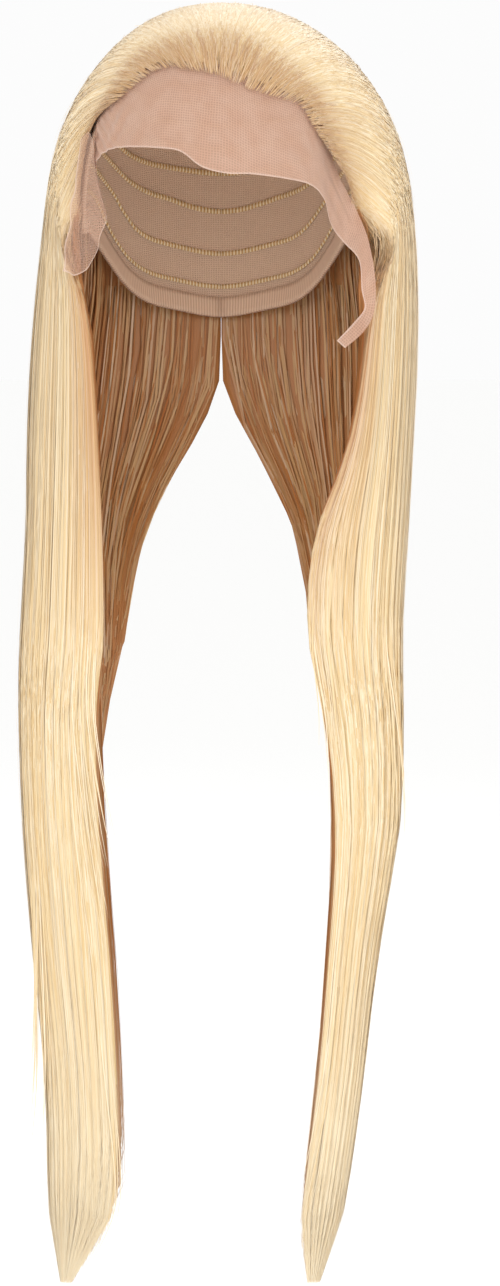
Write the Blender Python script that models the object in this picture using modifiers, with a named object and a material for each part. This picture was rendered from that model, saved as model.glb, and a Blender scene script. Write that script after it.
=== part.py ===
"""Lace front wig.

Long straight hair is swept back from a sheer lace front, parts at the nape and comes forward in two falls.
+Z is up and the open face looks to -Y. Left and right are as seen from the front, so +X is right.
The origin is the inside top of the cap, where the crown of a head bears.
"""

import math
from collections import namedtuple

import bmesh
import bpy
import numpy as np

# Driving dimensions, in metres
HEAD_BREADTH = 0.150  # of the head that the cap fits
HEAD_LENGTH = 0.190
CROWN_HEIGHT = 0.100  # from the widest level of the head up to its top
NAPE_HEIGHT = 0.130  # over which the lower half of the head would round off
CAP_WALL = 0.0012
LACE_WALL = 0.0010
SEAM_GAP = 0.0003  # between pieces that are sewn or lie together
HAIR_LIFT = 0.0005  # play of the hair's inner side over the lace
CAP_LIFT = 0.0010  # further play over the cap, behind the lace
HAIR_MIN = 0.0012  # thickness of the hair at its roots
CROWN_BODY = 0.015  # hair above the top of the cap
SIDE_BODY = 0.035  # hair beside the head
BACK_BODY = 0.015  # hair behind the head
FRONT_BODY = 0.006  # hair in front of the head's own rounding
SKIRT_DROP = 0.050  # from the head's widest level to where the hair hangs free
FALL_DROP = 0.543  # from there to the lowest tips
FALL_BODY = 0.044  # full thickness of a fall
GROOVE = 0.0056  # depth of the furrows between locks
LACE_BAND = 0.014  # hidden width of lace that the front hair is tied through
LACE_RUFFLE = 0.0022  # wave of the hanging tail

# Shape values without a size
HEAD_SQUARENESS = 2.5
SWEEP_BACK = 0.16  # how far strands run back before they turn down
SKIRT_POLAR = 120.0  # polar angle that stands for the level where the hair hangs free
SCALP_STEPS = 15  # rows from the roots to where the hair hangs free
SCALP_EASE = 1.3  # above 1 the rows stand closer together near the roots
RISE_WAY = 0.4  # share of the way down the scalp over which the hair gains its full body
RISE_EASE = 1.0  # above 1 the hair leaves the head more slowly
STRETCH_EASE = 2  # how late the hair over the scalp widens to the width at which it hangs
UNDER_EASE = 3  # how late the hair's inner side leaves the cap
LIFT_ROWS = 4.0  # rows over which the play over the cap grows
GROOVE_LIMIT = 0.42  # largest share of a lock's thickness that a furrow takes
HEM_ROWS = 3.0  # stations over which the lock tips part
EDGE_SHORT = 1.3  # how much earlier a hair node's own edges end, in stations
COLUMNS_PER_LOCK = 3
BEND_STATIONS = 6  # stations below that level where the hair comes forward, with two rows each
CAP_SEGMENTS = 40
CAP_RINGS = 24
LACE_ROWS = 8
LACE_STEPS = 2  # columns for each row of the lace table
RUFFLE_START = 17.0  # lace row from which the tail waves
RUFFLE_EASE = 3.0  # rows over which the wave grows
RUFFLE_TURN = 2.4  # turn of the wave from one row to the next, in radians
RUFFLE_HINGE = 0.3  # share across the tail that keeps still

HEAD_CENTRE = np.array([0.0, 0.0, -CROWN_HEIGHT])
SPREAD = HEAD_BREADTH / 2 + SIDE_BODY
REACH = HEAD_LENGTH / 2 + BACK_BODY
LACE_SEAT = CAP_WALL + SEAM_GAP
HAIR_SEAT = LACE_SEAT + LACE_WALL + HAIR_LIFT
FREE_LEVEL = -CROWN_HEIGHT - SKIRT_DROP

# Horizontal sections of one side of the hanging hair, from where it hangs free to the tips.
# drop is a share of FALL_DROP. outer, front_in and back_in are distances from the middle plane, as
# shares of SPREAD.
# front and back are depths, shares of REACH. wall and lip are thicknesses at the side and at the two edges,
# shares of FALL_BODY.
Section = namedtuple("Section", "drop outer front_in back_in front back wall lip")
LEFT_SECTIONS = (
    Section(0.00, 0.945, 0.645, 0.00, -0.28, 0.98, 0.58, 0.24),
    Section(0.09, 0.980, 0.618, 0.01, -0.33, 0.89, 0.52, 0.24),
    Section(0.155, 0.978, 0.602, 0.15, -0.38, 0.74, 0.48, 0.22),
    Section(0.22, 0.973, 0.585, 0.34, -0.44, 0.52, 0.50, 0.21),
    Section(0.285, 0.980, 0.575, 0.44, -0.50, 0.22, 0.66, 0.20),
    Section(0.35, 0.990, 0.575, 0.48, -0.56, -0.07, 0.88, 0.20),
    Section(0.415, 0.990, 0.610, 0.60, -0.60, -0.24, 1.00, 0.18),
    Section(0.53, 0.972, 0.595, 0.60, -0.62, -0.29, 1.00, 0.14),
    Section(0.66, 0.925, 0.545, 0.56, -0.60, -0.29, 1.01, 0.14),
    Section(0.79, 0.865, 0.510, 0.52, -0.56, -0.29, 0.94, 0.13),
    Section(0.895, 0.860, 0.500, 0.51, -0.53, -0.30, 0.95, 0.11),
    Section(0.955, 0.850, 0.590, 0.60, -0.50, -0.33, 0.70, 0.09),
    Section(1.00, 0.820, 0.735, 0.735, -0.45, -0.38, 0.24, 0.05),
)
RIGHT_SECTIONS = (
    Section(0.00, 1.015, 0.725, 0.00, -0.26, 0.98, 0.56, 0.24),
    Section(0.09, 1.003, 0.740, 0.01, -0.31, 0.89, 0.50, 0.24),
    Section(0.155, 0.965, 0.665, 0.16, -0.38, 0.74, 0.48, 0.22),
    Section(0.22, 0.950, 0.500, 0.34, -0.47, 0.52, 0.50, 0.21),
    Section(0.285, 0.920, 0.438, 0.44, -0.53, 0.22, 0.66, 0.20),
    Section(0.35, 0.900, 0.445, 0.45, -0.58, -0.07, 0.88, 0.20),
    Section(0.415, 0.905, 0.520, 0.53, -0.62, -0.24, 0.94, 0.18),
    Section(0.53, 0.890, 0.580, 0.58, -0.62, -0.29, 0.81, 0.14),
    Section(0.66, 0.785, 0.540, 0.545, -0.60, -0.29, 0.65, 0.14),
    Section(0.79, 0.715, 0.490, 0.495, -0.56, -0.29, 0.58, 0.13),
    Section(0.895, 0.645, 0.425, 0.43, -0.53, -0.30, 0.58, 0.11),
    Section(0.955, 0.595, 0.395, 0.405, -0.50, -0.33, 0.52, 0.09),
    Section(1.00, 0.520, 0.420, 0.42, -0.45, -0.38, 0.25, 0.05),
)

# Hairline: share of the way from the middle of the forehead to the ear, and its place on the head.
# azimuth is 0 at the front and 90 at the side, polar is 0 at the top of the head and 90 at its widest level.
Root = namedtuple("Root", "share azimuth polar")
LEFT_HAIRLINE = (
    Root(0.00, 0, 50.0),
    Root(0.15, 14, 48.5),
    Root(0.30, 34, 48.0),
    Root(0.45, 46, 58.0),
    Root(0.60, 57, 65.5),
    Root(0.68, 66, 70.0),
    Root(0.75, 69, 74.0),
    Root(0.88, 74, 86.0),
    Root(1.00, 80, 100.0),
)
RIGHT_HAIRLINE = (
    Root(0.00, 0, 50.0),
    Root(0.15, 12, 55.0),
    Root(0.30, 26, 59.5),
    Root(0.45, 41, 63.5),
    Root(0.60, 47, 73.0),
    Root(0.75, 56, 82.0),
    Root(0.88, 68, 89.5),
    Root(1.00, 80, 101.0),
)

# The two halves of the hair. scalp_breadth is the hair's breadth over the scalp, as a share of SPREAD.
Side = namedtuple("Side", "name sign sections hairline scalp_breadth")
SIDES = (
    Side("left", -1.0, LEFT_SECTIONS, LEFT_HAIRLINE, 0.83),
    Side("right", 1.0, RIGHT_SECTIONS, RIGHT_HAIRLINE, 0.92),
)

# Locks of one hair node, from its back edge to its front edge: width as a share of the node's own width,
# and short, how much earlier the lock ends, in stations of the section table.
Lock = namedtuple("Lock", "width short")
FRONT_LOCKS = (Lock(0.22, 0.5), Lock(0.17, 0.0), Lock(0.24, 0.3), Lock(0.19, 0.1), Lock(0.18, 0.8))
BACK_LOCKS = (Lock(0.26, 0.9), Lock(0.22, 0.2), Lock(0.29, 0.6), Lock(0.23, 0.1))

# Edge of the cap, by azimuth
CapEdge = namedtuple("CapEdge", "azimuth polar")
CAP_EDGE = (
    CapEdge(0, 43),
    CapEdge(30, 43),
    CapEdge(46, 53),
    CapEdge(57, 61),
    CapEdge(66, 68),
    CapEdge(74, 81),
    CapEdge(82, 94),
    CapEdge(88, 96),
    CapEdge(100, 92),
    CapEdge(118, 97),
    CapEdge(140, 109),
    CapEdge(180, 114),
)

# The lace, from the flap at the left temple along the hairline to the tip of the right tail. top and edge are
# the hairline side and the cut side. across is a share of half HEAD_BREADTH, and down is a share of
# CROWN_HEIGHT below the origin. hold is 1 where the lace lies on the head and 0 where it hangs free, at
# the depth forward, a share of half HEAD_LENGTH.
LaceRow = namedtuple("LaceRow", "top_across top_down edge_across edge_down hold forward")
LACE = (
    LaceRow(-1.00, 0.64, -1.14, 1.36, 0.00, -0.38),
    LaceRow(-0.99, 0.63, -1.04, 1.38, 0.00, -0.395),
    LaceRow(-0.97, 0.62, -0.95, 1.34, 0.00, -0.405),
    LaceRow(-0.95, 0.61, -0.90, 1.27, 0.00, -0.415),
    LaceRow(-0.93, 0.615, -0.82, 1.06, 0.05, -0.455),
    LaceRow(-0.90, 0.65, -0.87, 0.92, 0.27, -0.53),
    LaceRow(-0.86, 0.575, -0.86, 0.78, 1.00, -0.45),
    LaceRow(-0.76, 0.485, -0.78, 0.72, 1.00, -0.45),
    LaceRow(-0.60, 0.37, -0.66, 0.705, 1.00, -0.45),
    LaceRow(-0.40, 0.275, -0.46, 0.71, 1.00, -0.45),
    LaceRow(-0.22, 0.275, -0.27, 0.73, 1.00, -0.45),
    LaceRow(-0.06, 0.29, -0.12, 0.81, 1.00, -0.45),
    LaceRow(0.06, 0.31, 0.05, 0.845, 1.00, -0.45),
    LaceRow(0.22, 0.37, 0.24, 0.85, 1.00, -0.45),
    LaceRow(0.42, 0.42, 0.45, 0.87, 1.00, -0.45),
    LaceRow(0.61, 0.48, 0.63, 0.90, 1.00, -0.45),
    LaceRow(0.72, 0.64, 0.73, 0.97, 0.90, -0.46),
    LaceRow(0.84, 0.84, 0.80, 1.10, 0.45, -0.47),
    LaceRow(0.97, 1.00, 0.90, 1.20, 0.10, -0.42),
    LaceRow(1.07, 1.17, 1.01, 1.30, 0.00, -0.405),
    LaceRow(1.13, 1.40, 1.03, 1.46, 0.00, -0.385),
    LaceRow(1.12, 1.58, 1.05, 1.56, 0.00, -0.40),
    LaceRow(1.04, 1.69, 0.97, 1.64, 0.00, -0.42),
    LaceRow(0.91, 1.775, 0.85, 1.735, 0.00, -0.43),
)

HAIR_MATERIAL = ("blonde hair", (0.80, 0.65, 0.37), 0.42)
LACE_MATERIAL = ("sheer lace", (0.70, 0.48, 0.38), 0.60)
CAP_MATERIAL = ("cap net", (0.70, 0.56, 0.42), 0.80)


def clear_scene():
    for old in list(bpy.data.objects):
        bpy.data.objects.remove(old)


def make_material(settings):
    name, colour, roughness = settings
    material = bpy.data.materials.new(name)
    material.use_nodes = True
    surface = material.node_tree.nodes["Principled BSDF"]
    surface.inputs["Base Color"].default_value = (*colour, 1.0)
    surface.inputs["Roughness"].default_value = roughness
    surface.inputs["Metallic"].default_value = 0.0
    material.diffuse_color = (*colour, 1.0)
    return material


def column(table, name):
    return np.array([getattr(row, name) for row in table], dtype=float)


def head_radii(offset, polar):
    """Half breadth, half length and height of the head's rounding, grown by offset."""
    height = np.where(np.asarray(polar) <= 90.0, CROWN_HEIGHT, NAPE_HEIGHT)
    return HEAD_BREADTH / 2 + offset, HEAD_LENGTH / 2 + offset, height + offset


def head_point(azimuth, polar, offset):
    """Point on the head's squared ellipsoid, grown by offset. Angles in degrees."""
    breadth, length, height = head_radii(offset, polar)
    turn, tilt = np.radians(azimuth), np.radians(polar)
    power = 2.0 / HEAD_SQUARENESS
    radius = np.abs(np.sin(tilt)) ** power
    rise = np.sign(np.cos(tilt)) * np.abs(np.cos(tilt)) ** power
    place = [breadth * radius * np.sin(turn), -length * radius * np.cos(turn), height * rise]
    return np.stack(place, axis=-1) + HEAD_CENTRE


def head_rim(azimuth, drop, offset):
    """Point on the head's lower half, grown by offset, at a drop below its widest level."""
    breadth, length, height = head_radii(offset, 180.0)
    turn = np.radians(azimuth)
    radius = (1.0 - (np.maximum(drop, 0.0) / height) ** HEAD_SQUARENESS) ** (1.0 / HEAD_SQUARENESS)
    place = np.stack([breadth * radius * np.sin(turn), -length * radius * np.cos(turn), -drop], axis=-1)
    return place + HEAD_CENTRE


def head_angles(across, level):
    """Azimuth and polar angle of the point on the head's front at a sideways place and a level."""
    rise = np.clip((level - HEAD_CENTRE[2]) / CROWN_HEIGHT, -0.999, 0.999)
    power = HEAD_SQUARENESS / 2.0
    tilt = np.arccos(np.sign(rise) * np.abs(rise) ** power)
    radius = np.sin(tilt) ** (1.0 / power)
    turn = np.arcsin(np.clip(across / (HEAD_BREADTH / 2 * radius), -0.995, 0.995))
    return np.degrees(turn), np.degrees(tilt)


def clear_of_head(points, offset):
    """Move points that lie inside the head, grown by offset, straight out to its surface."""
    arm = points - HEAD_CENTRE
    polar = np.where(arm[..., 2] >= 0.0, 0.0, 180.0)
    breadth, length, height = head_radii(offset, polar)
    flat = (arm[..., 0] / breadth) ** 2 + (arm[..., 1] / length) ** 2
    size = flat ** (HEAD_SQUARENESS / 2) + np.abs(arm[..., 2] / height) ** HEAD_SQUARENESS
    growth = np.maximum(1.0, np.maximum(size, 1e-6) ** (-1.0 / HEAD_SQUARENESS))
    return HEAD_CENTRE + arm * growth[..., None]


def section_points(side, sign, share, station):
    """Outer and inner points of one section row. share is 0 at the back edge and 1 at the front edge."""
    row = side.sections[station]
    bow = np.sin(math.pi * share)
    swing = np.cos(math.pi * share)
    base = SPREAD * (row.back_in + (row.front_in - row.back_in) * share)
    middle = REACH * (row.front + row.back) / 2
    half = REACH * (row.back - row.front) / 2
    level = np.full_like(share, FREE_LEVEL - FALL_DROP * row.drop)
    outer_x = base + (SPREAD * row.outer - base) * bow
    inner_x = base + (SPREAD * row.outer - base - FALL_BODY * row.wall) * bow
    inner_half = half - FALL_BODY * row.lip
    outer = np.stack([sign * outer_x, middle + half * swing, level], axis=-1)
    inner = np.stack([sign * inner_x, middle + inner_half * swing, level], axis=-1)
    return outer, inner


def scalp_points(side, share):
    """Outer and inner points of the hair over the scalp, in rows from the roots to the free level."""
    root_turn = np.radians(np.interp(share, column(side.hairline, "share"), column(side.hairline, "azimuth")))
    root_tilt = np.interp(share, column(side.hairline, "share"), column(side.hairline, "polar")) / 90.0
    start = np.stack([np.sin(root_turn), -np.cos(root_turn)], axis=-1) * root_tilt[:, None]
    rim, rim_inner = section_points(side, 1.0, share, 0)
    breadth, front, back = SPREAD * side.scalp_breadth, HEAD_LENGTH / 2 + FRONT_BODY, REACH
    length = np.where(rim[:, 1] < 0.0, front, back)
    aim = np.stack([rim[:, 0] / breadth, rim[:, 1] / length], axis=-1)
    stretch = np.linalg.norm(aim, axis=-1)
    end = aim / stretch[:, None] * (SKIRT_POLAR / 90.0)
    bend = (start + end) / 2 + np.array([0.0, SWEEP_BACK])
    outer, inner = [], []
    for way in np.linspace(0.0, 1.0, SCALP_STEPS + 1) ** SCALP_EASE:
        plan = start * (1 - way) ** 2 + bend * 2 * way * (1 - way) + end * way**2
        reach = np.linalg.norm(plan, axis=-1)
        polar = reach * 90.0
        heading = plan / np.maximum(reach, 1e-6)[:, None]
        tilt = np.radians(np.minimum(polar, 90.0))
        level = np.where(
            polar < 90.0,
            (CROWN_HEIGHT + CROWN_BODY) * np.cos(tilt),
            -SKIRT_DROP * (polar - 90.0) / (SKIRT_POLAR - 90.0),
        )
        depth = np.where(heading[:, 1] < 0.0, front, back)
        swell = np.sin(tilt) * (1 + (stretch - 1) * way**STRETCH_EASE)
        place = np.stack([breadth * heading[:, 0] * swell, depth * heading[:, 1] * swell, level], axis=-1)
        place = place + HEAD_CENTRE
        azimuth = np.degrees(np.arctan2(heading[:, 0], -heading[:, 1]))
        seat = head_point(azimuth, np.minimum(polar, 90.0), HAIR_SEAT)
        seat = np.where((polar > 90.0)[:, None], head_rim(azimuth, -level, HAIR_SEAT), seat)
        rise = min(1.0, way / RISE_WAY) ** RISE_EASE
        top = seat + (place - seat) * rise
        under = seat + (rim_inner - seat) * way**UNDER_EASE
        outer.append(top * (side.sign, 1.0, 1.0))
        inner.append(under * (side.sign, 1.0, 1.0))
    return outer, inner


def smooth_rows(keys, places):
    """Read a smooth curve through keys, shaped (stations, columns, 3), at a place for each row and column."""
    last = len(keys) - 1
    first = np.clip(np.floor(places).astype(int), 0, last - 1)
    part = (places - first)[..., None]
    columns = np.arange(keys.shape[1])[None, :]
    before = keys[np.maximum(first - 1, 0), columns]
    here = keys[first, columns]
    after = keys[first + 1, columns]
    beyond = keys[np.minimum(first + 2, last), columns]
    return here + part * 0.5 * (
        (after - before)
        + part * (2 * before - 5 * here + 4 * after - beyond)
        + part**2 * (3 * (here - after) + beyond - before)
    )


def lock_columns(locks, low, high):
    """Shares, furrow depths and early ends of the columns of one hair node."""
    shares, furrows, shorts = [], [], []
    edge = low
    for lock in locks:
        width = lock.width * (high - low)
        for step in range(COLUMNS_PER_LOCK):
            inside = step / COLUMNS_PER_LOCK
            shares.append(edge + width * inside)
            furrows.append(1.0 if step == 0 else 0.0)
            shorts.append(lock.short + (1.0 if step == 0 else 0.0))
        edge += width
    shares.append(high)
    furrows.append(1.0)
    shorts.append(EDGE_SHORT)
    shorts[0] = EDGE_SHORT
    return np.array(shares), np.array(furrows), np.array(shorts)


def part_columns(outer, inner, edge, beside):
    """Draw the side face at an edge column back by half a seam gap, clear of the neighbouring node."""
    along = np.gradient(outer[:, edge], axis=0)
    normal = np.cross(along, inner[:, edge] - outer[:, edge])
    normal /= np.maximum(np.linalg.norm(normal, axis=-1), 1e-12)[:, None]
    towards = np.sum(normal * (outer[:, beside] - outer[:, edge]), axis=-1)
    step = normal * np.sign(towards)[:, None] * SEAM_GAP / 2
    outer[:, edge] += step
    inner[:, edge] += step


def furrowed(outer, inner, amount):
    """Press furrows into the outer points, towards each row's middle, and at the edge columns straight in."""
    straight = inner - outer
    inward = (outer + inner).mean(axis=1, keepdims=True) / 2 - outer
    inward[:, (0, -1)] = straight[:, (0, -1)]
    thick = np.linalg.norm(straight, axis=-1)
    reach = np.maximum(np.linalg.norm(inward, axis=-1), 1e-9)
    depth = np.minimum(GROOVE * amount, GROOVE_LIMIT * thick)
    return outer + inward * (depth / reach)[..., None]


def hair_rows(side, locks, low, high):
    """Grids of outer and inner points of one hair node, from its roots to its tips."""
    share, furrow, short = lock_columns(locks, low, high)
    outer, inner = scalp_points(side, share)
    for station in range(1, len(side.sections)):
        hang_outer, hang_inner = section_points(side, side.sign, share, station)
        outer.append(hang_outer)
        inner.append(hang_inner)
    outer, inner = np.array(outer), np.array(inner)
    last = len(outer) - 1
    bend = SCALP_STEPS + np.arange(0.5, BEND_STATIONS, 1.0)
    rows = np.sort(np.append(np.arange(last + 1.0), bend))[:, None]
    hem = last - HEM_ROWS
    places = np.where(rows > hem, hem + (rows - hem) * (1 - short / HEM_ROWS), rows)
    seat = HAIR_SEAT + CAP_LIFT * np.clip(rows / LIFT_ROWS, 0.0, 1.0)
    inner = clear_of_head(smooth_rows(inner, places), seat)
    outer = clear_of_head(smooth_rows(outer, places), seat + HAIR_MIN)
    outer = furrowed(outer, inner, furrow * np.clip(rows / SCALP_STEPS, 0.0, 1.0))
    for points in (outer, inner):
        points[..., 0] = side.sign * np.maximum(side.sign * points[..., 0], SEAM_GAP / 2)
    if low > 0.0:
        part_columns(outer, inner, 0, 1)
    if high < 1.0:
        part_columns(outer, inner, -1, -2)
    return outer, inner


def loft_wall(name, outer, inner):
    """Closed solid between two grids of points that share their rows and columns."""
    mesh = bpy.data.meshes.new(name)
    shell = bmesh.new()
    grids = [[[shell.verts.new(point) for point in row] for row in grid] for grid in (outer, inner)]
    rows, columns = len(outer), len(outer[0])
    for grid in grids:
        for low in range(rows - 1):
            for left in range(columns - 1):
                upper, lower = grid[low], grid[low + 1]
                shell.faces.new((upper[left], upper[left + 1], lower[left + 1], lower[left]))
    front, back = grids
    for low in range(rows - 1):
        for edge in (0, columns - 1):
            shell.faces.new((front[low][edge], front[low + 1][edge], back[low + 1][edge]))
            shell.faces.new((front[low][edge], back[low + 1][edge], back[low][edge]))
    for left in range(columns - 1):
        for end in (0, rows - 1):
            near, far = front[end], back[end]
            shell.faces.new((near[left], near[left + 1], far[left + 1], far[left]))
    bmesh.ops.recalc_face_normals(shell, faces=shell.faces)
    shell.to_mesh(mesh)
    shell.free()
    return mesh


def place_object(name, mesh, material, collection):
    mesh.materials.append(material)
    mesh.shade_smooth()
    piece = bpy.data.objects.new(name, mesh)
    collection.objects.link(piece)
    return piece


def build_hair(collection, material):
    for side in SIDES:
        for part, locks, low, high in (("front", FRONT_LOCKS, 0.5, 1.0), ("back", BACK_LOCKS, 0.0, 0.5)):
            name = f"hair_{side.name}_{part}"
            outer, inner = hair_rows(side, locks, low, high)
            place_object(name, loft_wall(name, outer, inner), material, collection)


def build_cap(collection, material):
    """The cap is the upper half of a globe, drawn over the head down to its edge, and thickened outwards."""
    mesh = bpy.data.meshes.new("wig_cap")
    dome = bmesh.new()
    bmesh.ops.create_uvsphere(dome, u_segments=CAP_SEGMENTS, v_segments=CAP_RINGS, radius=1.0)
    lower = [vert for vert in dome.verts if vert.co.z < -0.5 / CAP_RINGS]
    bmesh.ops.delete(dome, geom=lower, context="VERTS")
    for vert in dome.verts:
        azimuth = math.degrees(math.atan2(vert.co.x, -vert.co.y))
        down = math.degrees(math.acos(max(-1.0, min(1.0, vert.co.z)))) / 90.0
        edge = np.interp(abs(azimuth), column(CAP_EDGE, "azimuth"), column(CAP_EDGE, "polar"))
        vert.co = head_point(azimuth, edge * down, 0.0)
    bmesh.ops.recalc_face_normals(dome, faces=dome.faces)
    dome.to_mesh(mesh)
    dome.free()
    cap = place_object("wig_cap", mesh, material, collection)
    wall = cap.modifiers.new("wall", "SOLIDIFY")
    wall.thickness = CAP_WALL
    wall.offset = 1.0
    wall.use_even_offset = True


def lace_points():
    """Grid of points on the lace's inner side, columns along the hairline and rows down to the cut edge."""
    steps = np.linspace(0.0, len(LACE) - 1, (len(LACE) - 1) * LACE_STEPS + 1)
    values = {}
    for name in LaceRow._fields:
        values[name] = smooth_rows(column(LACE, name)[:, None, None], steps[:, None])[:, 0, 0]
    top_x, edge_x = (values[name] * HEAD_BREADTH / 2 for name in ("top_across", "edge_across"))
    top_z, edge_z = (-values[name] * CROWN_HEIGHT for name in ("top_down", "edge_down"))
    hold = np.clip(values["hold"], 0.0, 1.0)
    top_turn, top_tilt = head_angles(top_x, top_z)
    edge_turn, edge_tilt = head_angles(edge_x, edge_z)
    band = math.degrees(LACE_BAND / (HEAD_LENGTH / 2)) * hold**2
    depth = values["forward"] * HEAD_LENGTH / 2
    waving = np.clip((steps - RUFFLE_START) / RUFFLE_EASE, 0.0, 1.0)
    ruffle = LACE_RUFFLE * np.sin(steps * RUFFLE_TURN) * waving
    rows = []
    for part in np.linspace(0.0, 1.0, LACE_ROWS + 1):
        held = head_point(
            top_turn + (edge_turn - top_turn) * part,
            (top_tilt - band) + (edge_tilt - top_tilt + band) * part,
            LACE_SEAT,
        )
        wave = ruffle * (part - RUFFLE_HINGE)
        free = [top_x + (edge_x - top_x) * part, depth + wave, top_z + (edge_z - top_z) * part]
        free = np.stack(free, axis=-1)
        rows.append(free + (held - free) * hold[:, None])
    return np.array(rows)


def build_lace(collection, material):
    """The lace is an open sheet lofted from its hairline side to its cut side, and thickened outwards."""
    grid = lace_points()
    mesh = bpy.data.meshes.new("lace_front")
    sheet = bmesh.new()
    verts = [[sheet.verts.new(point) for point in row] for row in grid]
    for upper, lower in zip(verts, verts[1:]):
        for left in range(len(upper) - 1):
            sheet.faces.new((upper[left], lower[left], lower[left + 1], upper[left + 1]))
    sheet.to_mesh(mesh)
    sheet.free()
    lace = place_object("lace_front", mesh, material, collection)
    wall = lace.modifiers.new("wall", "SOLIDIFY")
    wall.thickness = LACE_WALL
    wall.offset = 1.0


def main():
    clear_scene()
    collection = bpy.data.collections.new("lace_front_wig")
    bpy.context.scene.collection.children.link(collection)
    build_cap(collection, make_material(CAP_MATERIAL))
    build_lace(collection, make_material(LACE_MATERIAL))
    build_hair(collection, make_material(HAIR_MATERIAL))


main()
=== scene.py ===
"""Looks of a lace front wig: strands of long straight blonde hair, a sheer lace front, a net cap and a stage.

Run as a script in Blender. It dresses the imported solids, which stay in their own frame: +Z is up, the open
face looks to -Y, and the origin is the inside top of the cap. Left and right are as seen from the front. All
sizes are in metres.
"""

import math
from collections import namedtuple

import bpy
import numpy as np
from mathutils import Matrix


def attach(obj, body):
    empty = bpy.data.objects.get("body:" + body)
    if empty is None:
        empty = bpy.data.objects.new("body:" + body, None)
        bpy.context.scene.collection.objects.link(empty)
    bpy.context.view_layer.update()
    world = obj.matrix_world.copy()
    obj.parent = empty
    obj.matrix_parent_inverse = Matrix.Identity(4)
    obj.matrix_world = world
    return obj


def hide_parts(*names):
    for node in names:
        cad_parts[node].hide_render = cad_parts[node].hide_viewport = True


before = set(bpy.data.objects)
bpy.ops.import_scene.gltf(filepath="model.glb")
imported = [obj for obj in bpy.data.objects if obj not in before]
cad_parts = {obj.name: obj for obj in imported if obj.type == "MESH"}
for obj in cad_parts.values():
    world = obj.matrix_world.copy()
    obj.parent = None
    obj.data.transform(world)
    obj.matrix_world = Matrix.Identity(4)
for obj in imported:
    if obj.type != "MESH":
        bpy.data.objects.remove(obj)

bl_info = {
    "name": "Lace Front Wig",
    "version": (1, 0, 0),
    "blender": (4, 5, 0),
    "location": "View3D > Sidebar > Wig",
    "description": "Builds the hair, lace front, net cap and stage of a long straight wig",
    "category": "Object",
}

# Sizes of the wig
HEAD_BREADTH = 0.150
HEAD_LENGTH = 0.190
CROWN_HEIGHT = 0.100
NAPE_HEIGHT = 0.130
CAP_WALL = 0.0012
LACE_WALL = 0.0010
SEAM_GAP = 0.0003
HAIR_LIFT = 0.0005
CAP_LIFT = 0.0010
HAIR_MIN = 0.0012
CROWN_BODY = 0.015
SIDE_BODY = 0.035
BACK_BODY = 0.015
FRONT_BODY = 0.006
SKIRT_DROP = 0.050
FALL_DROP = 0.543
FALL_BODY = 0.044
LACE_BAND = 0.014
LACE_RUFFLE = 0.0022

# Shape values without a size
HEAD_SQUARENESS = 2.5
SWEEP_BACK = 0.16
SKIRT_POLAR = 120.0
SCALP_STEPS = 15
SCALP_EASE = 1.3
RISE_WAY = 0.4
RISE_EASE = 1.0
STRETCH_EASE = 2
UNDER_EASE = 3
LIFT_ROWS = 4.0
ROUNDING = (-0.05, -0.025, 0.0, 0.025, 0.05)  # shares over which the hairline's corners are rounded off
FLOW_COLUMNS = 33
FLOW_ROW_STEP = 0.5
TIP_START = 0.93  # share of the length from which the falls narrow to their tips
TIP_TAPER = 0.40  # share by which they narrow
TIP_EASE = 1.5
UNFOLD_ROWS = (12, 36)  # flow rows from above the temples to below them
UNFOLD_EASE = 6  # rows over which the smoothing sets in and fades out
UNFOLD_TIMES = 16  # how often the smoothing is repeated
UNFOLD_SHARES = (0.25, 0.5)  # shares from the back edge between which the smoothing sets in

HEAD_CENTRE = np.array([0.0, 0.0, -CROWN_HEIGHT])
SPREAD = HEAD_BREADTH / 2 + SIDE_BODY
REACH = HEAD_LENGTH / 2 + BACK_BODY
LACE_SEAT = CAP_WALL + SEAM_GAP
HAIR_SEAT = LACE_SEAT + LACE_WALL + HAIR_LIFT
FREE_LEVEL = -CROWN_HEIGHT - SKIRT_DROP

# Sections of one side of the hanging hair, as shares: drop of FALL_DROP, outer, front_in and back_in of
# SPREAD, front and back of REACH, wall and lip of FALL_BODY.
Section = namedtuple("Section", "drop outer front_in back_in front back wall lip")
LEFT_SECTIONS = (
    Section(0.00, 0.945, 0.645, 0.00, -0.28, 0.98, 0.58, 0.24),
    Section(0.09, 0.980, 0.618, 0.01, -0.33, 0.89, 0.52, 0.24),
    Section(0.155, 0.978, 0.602, 0.15, -0.38, 0.74, 0.48, 0.22),
    Section(0.22, 0.973, 0.585, 0.34, -0.44, 0.52, 0.50, 0.21),
    Section(0.285, 0.980, 0.575, 0.44, -0.50, 0.22, 0.66, 0.20),
    Section(0.35, 0.990, 0.575, 0.48, -0.56, -0.07, 0.88, 0.20),
    Section(0.415, 0.990, 0.610, 0.60, -0.60, -0.24, 1.00, 0.18),
    Section(0.53, 0.972, 0.595, 0.60, -0.62, -0.29, 1.00, 0.14),
    Section(0.66, 0.925, 0.545, 0.56, -0.60, -0.29, 1.01, 0.14),
    Section(0.79, 0.865, 0.510, 0.52, -0.56, -0.29, 0.94, 0.13),
    Section(0.895, 0.860, 0.500, 0.51, -0.53, -0.30, 0.95, 0.11),
    Section(0.955, 0.850, 0.590, 0.60, -0.50, -0.33, 0.70, 0.09),
    Section(1.00, 0.820, 0.735, 0.735, -0.45, -0.38, 0.24, 0.05),
)
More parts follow.
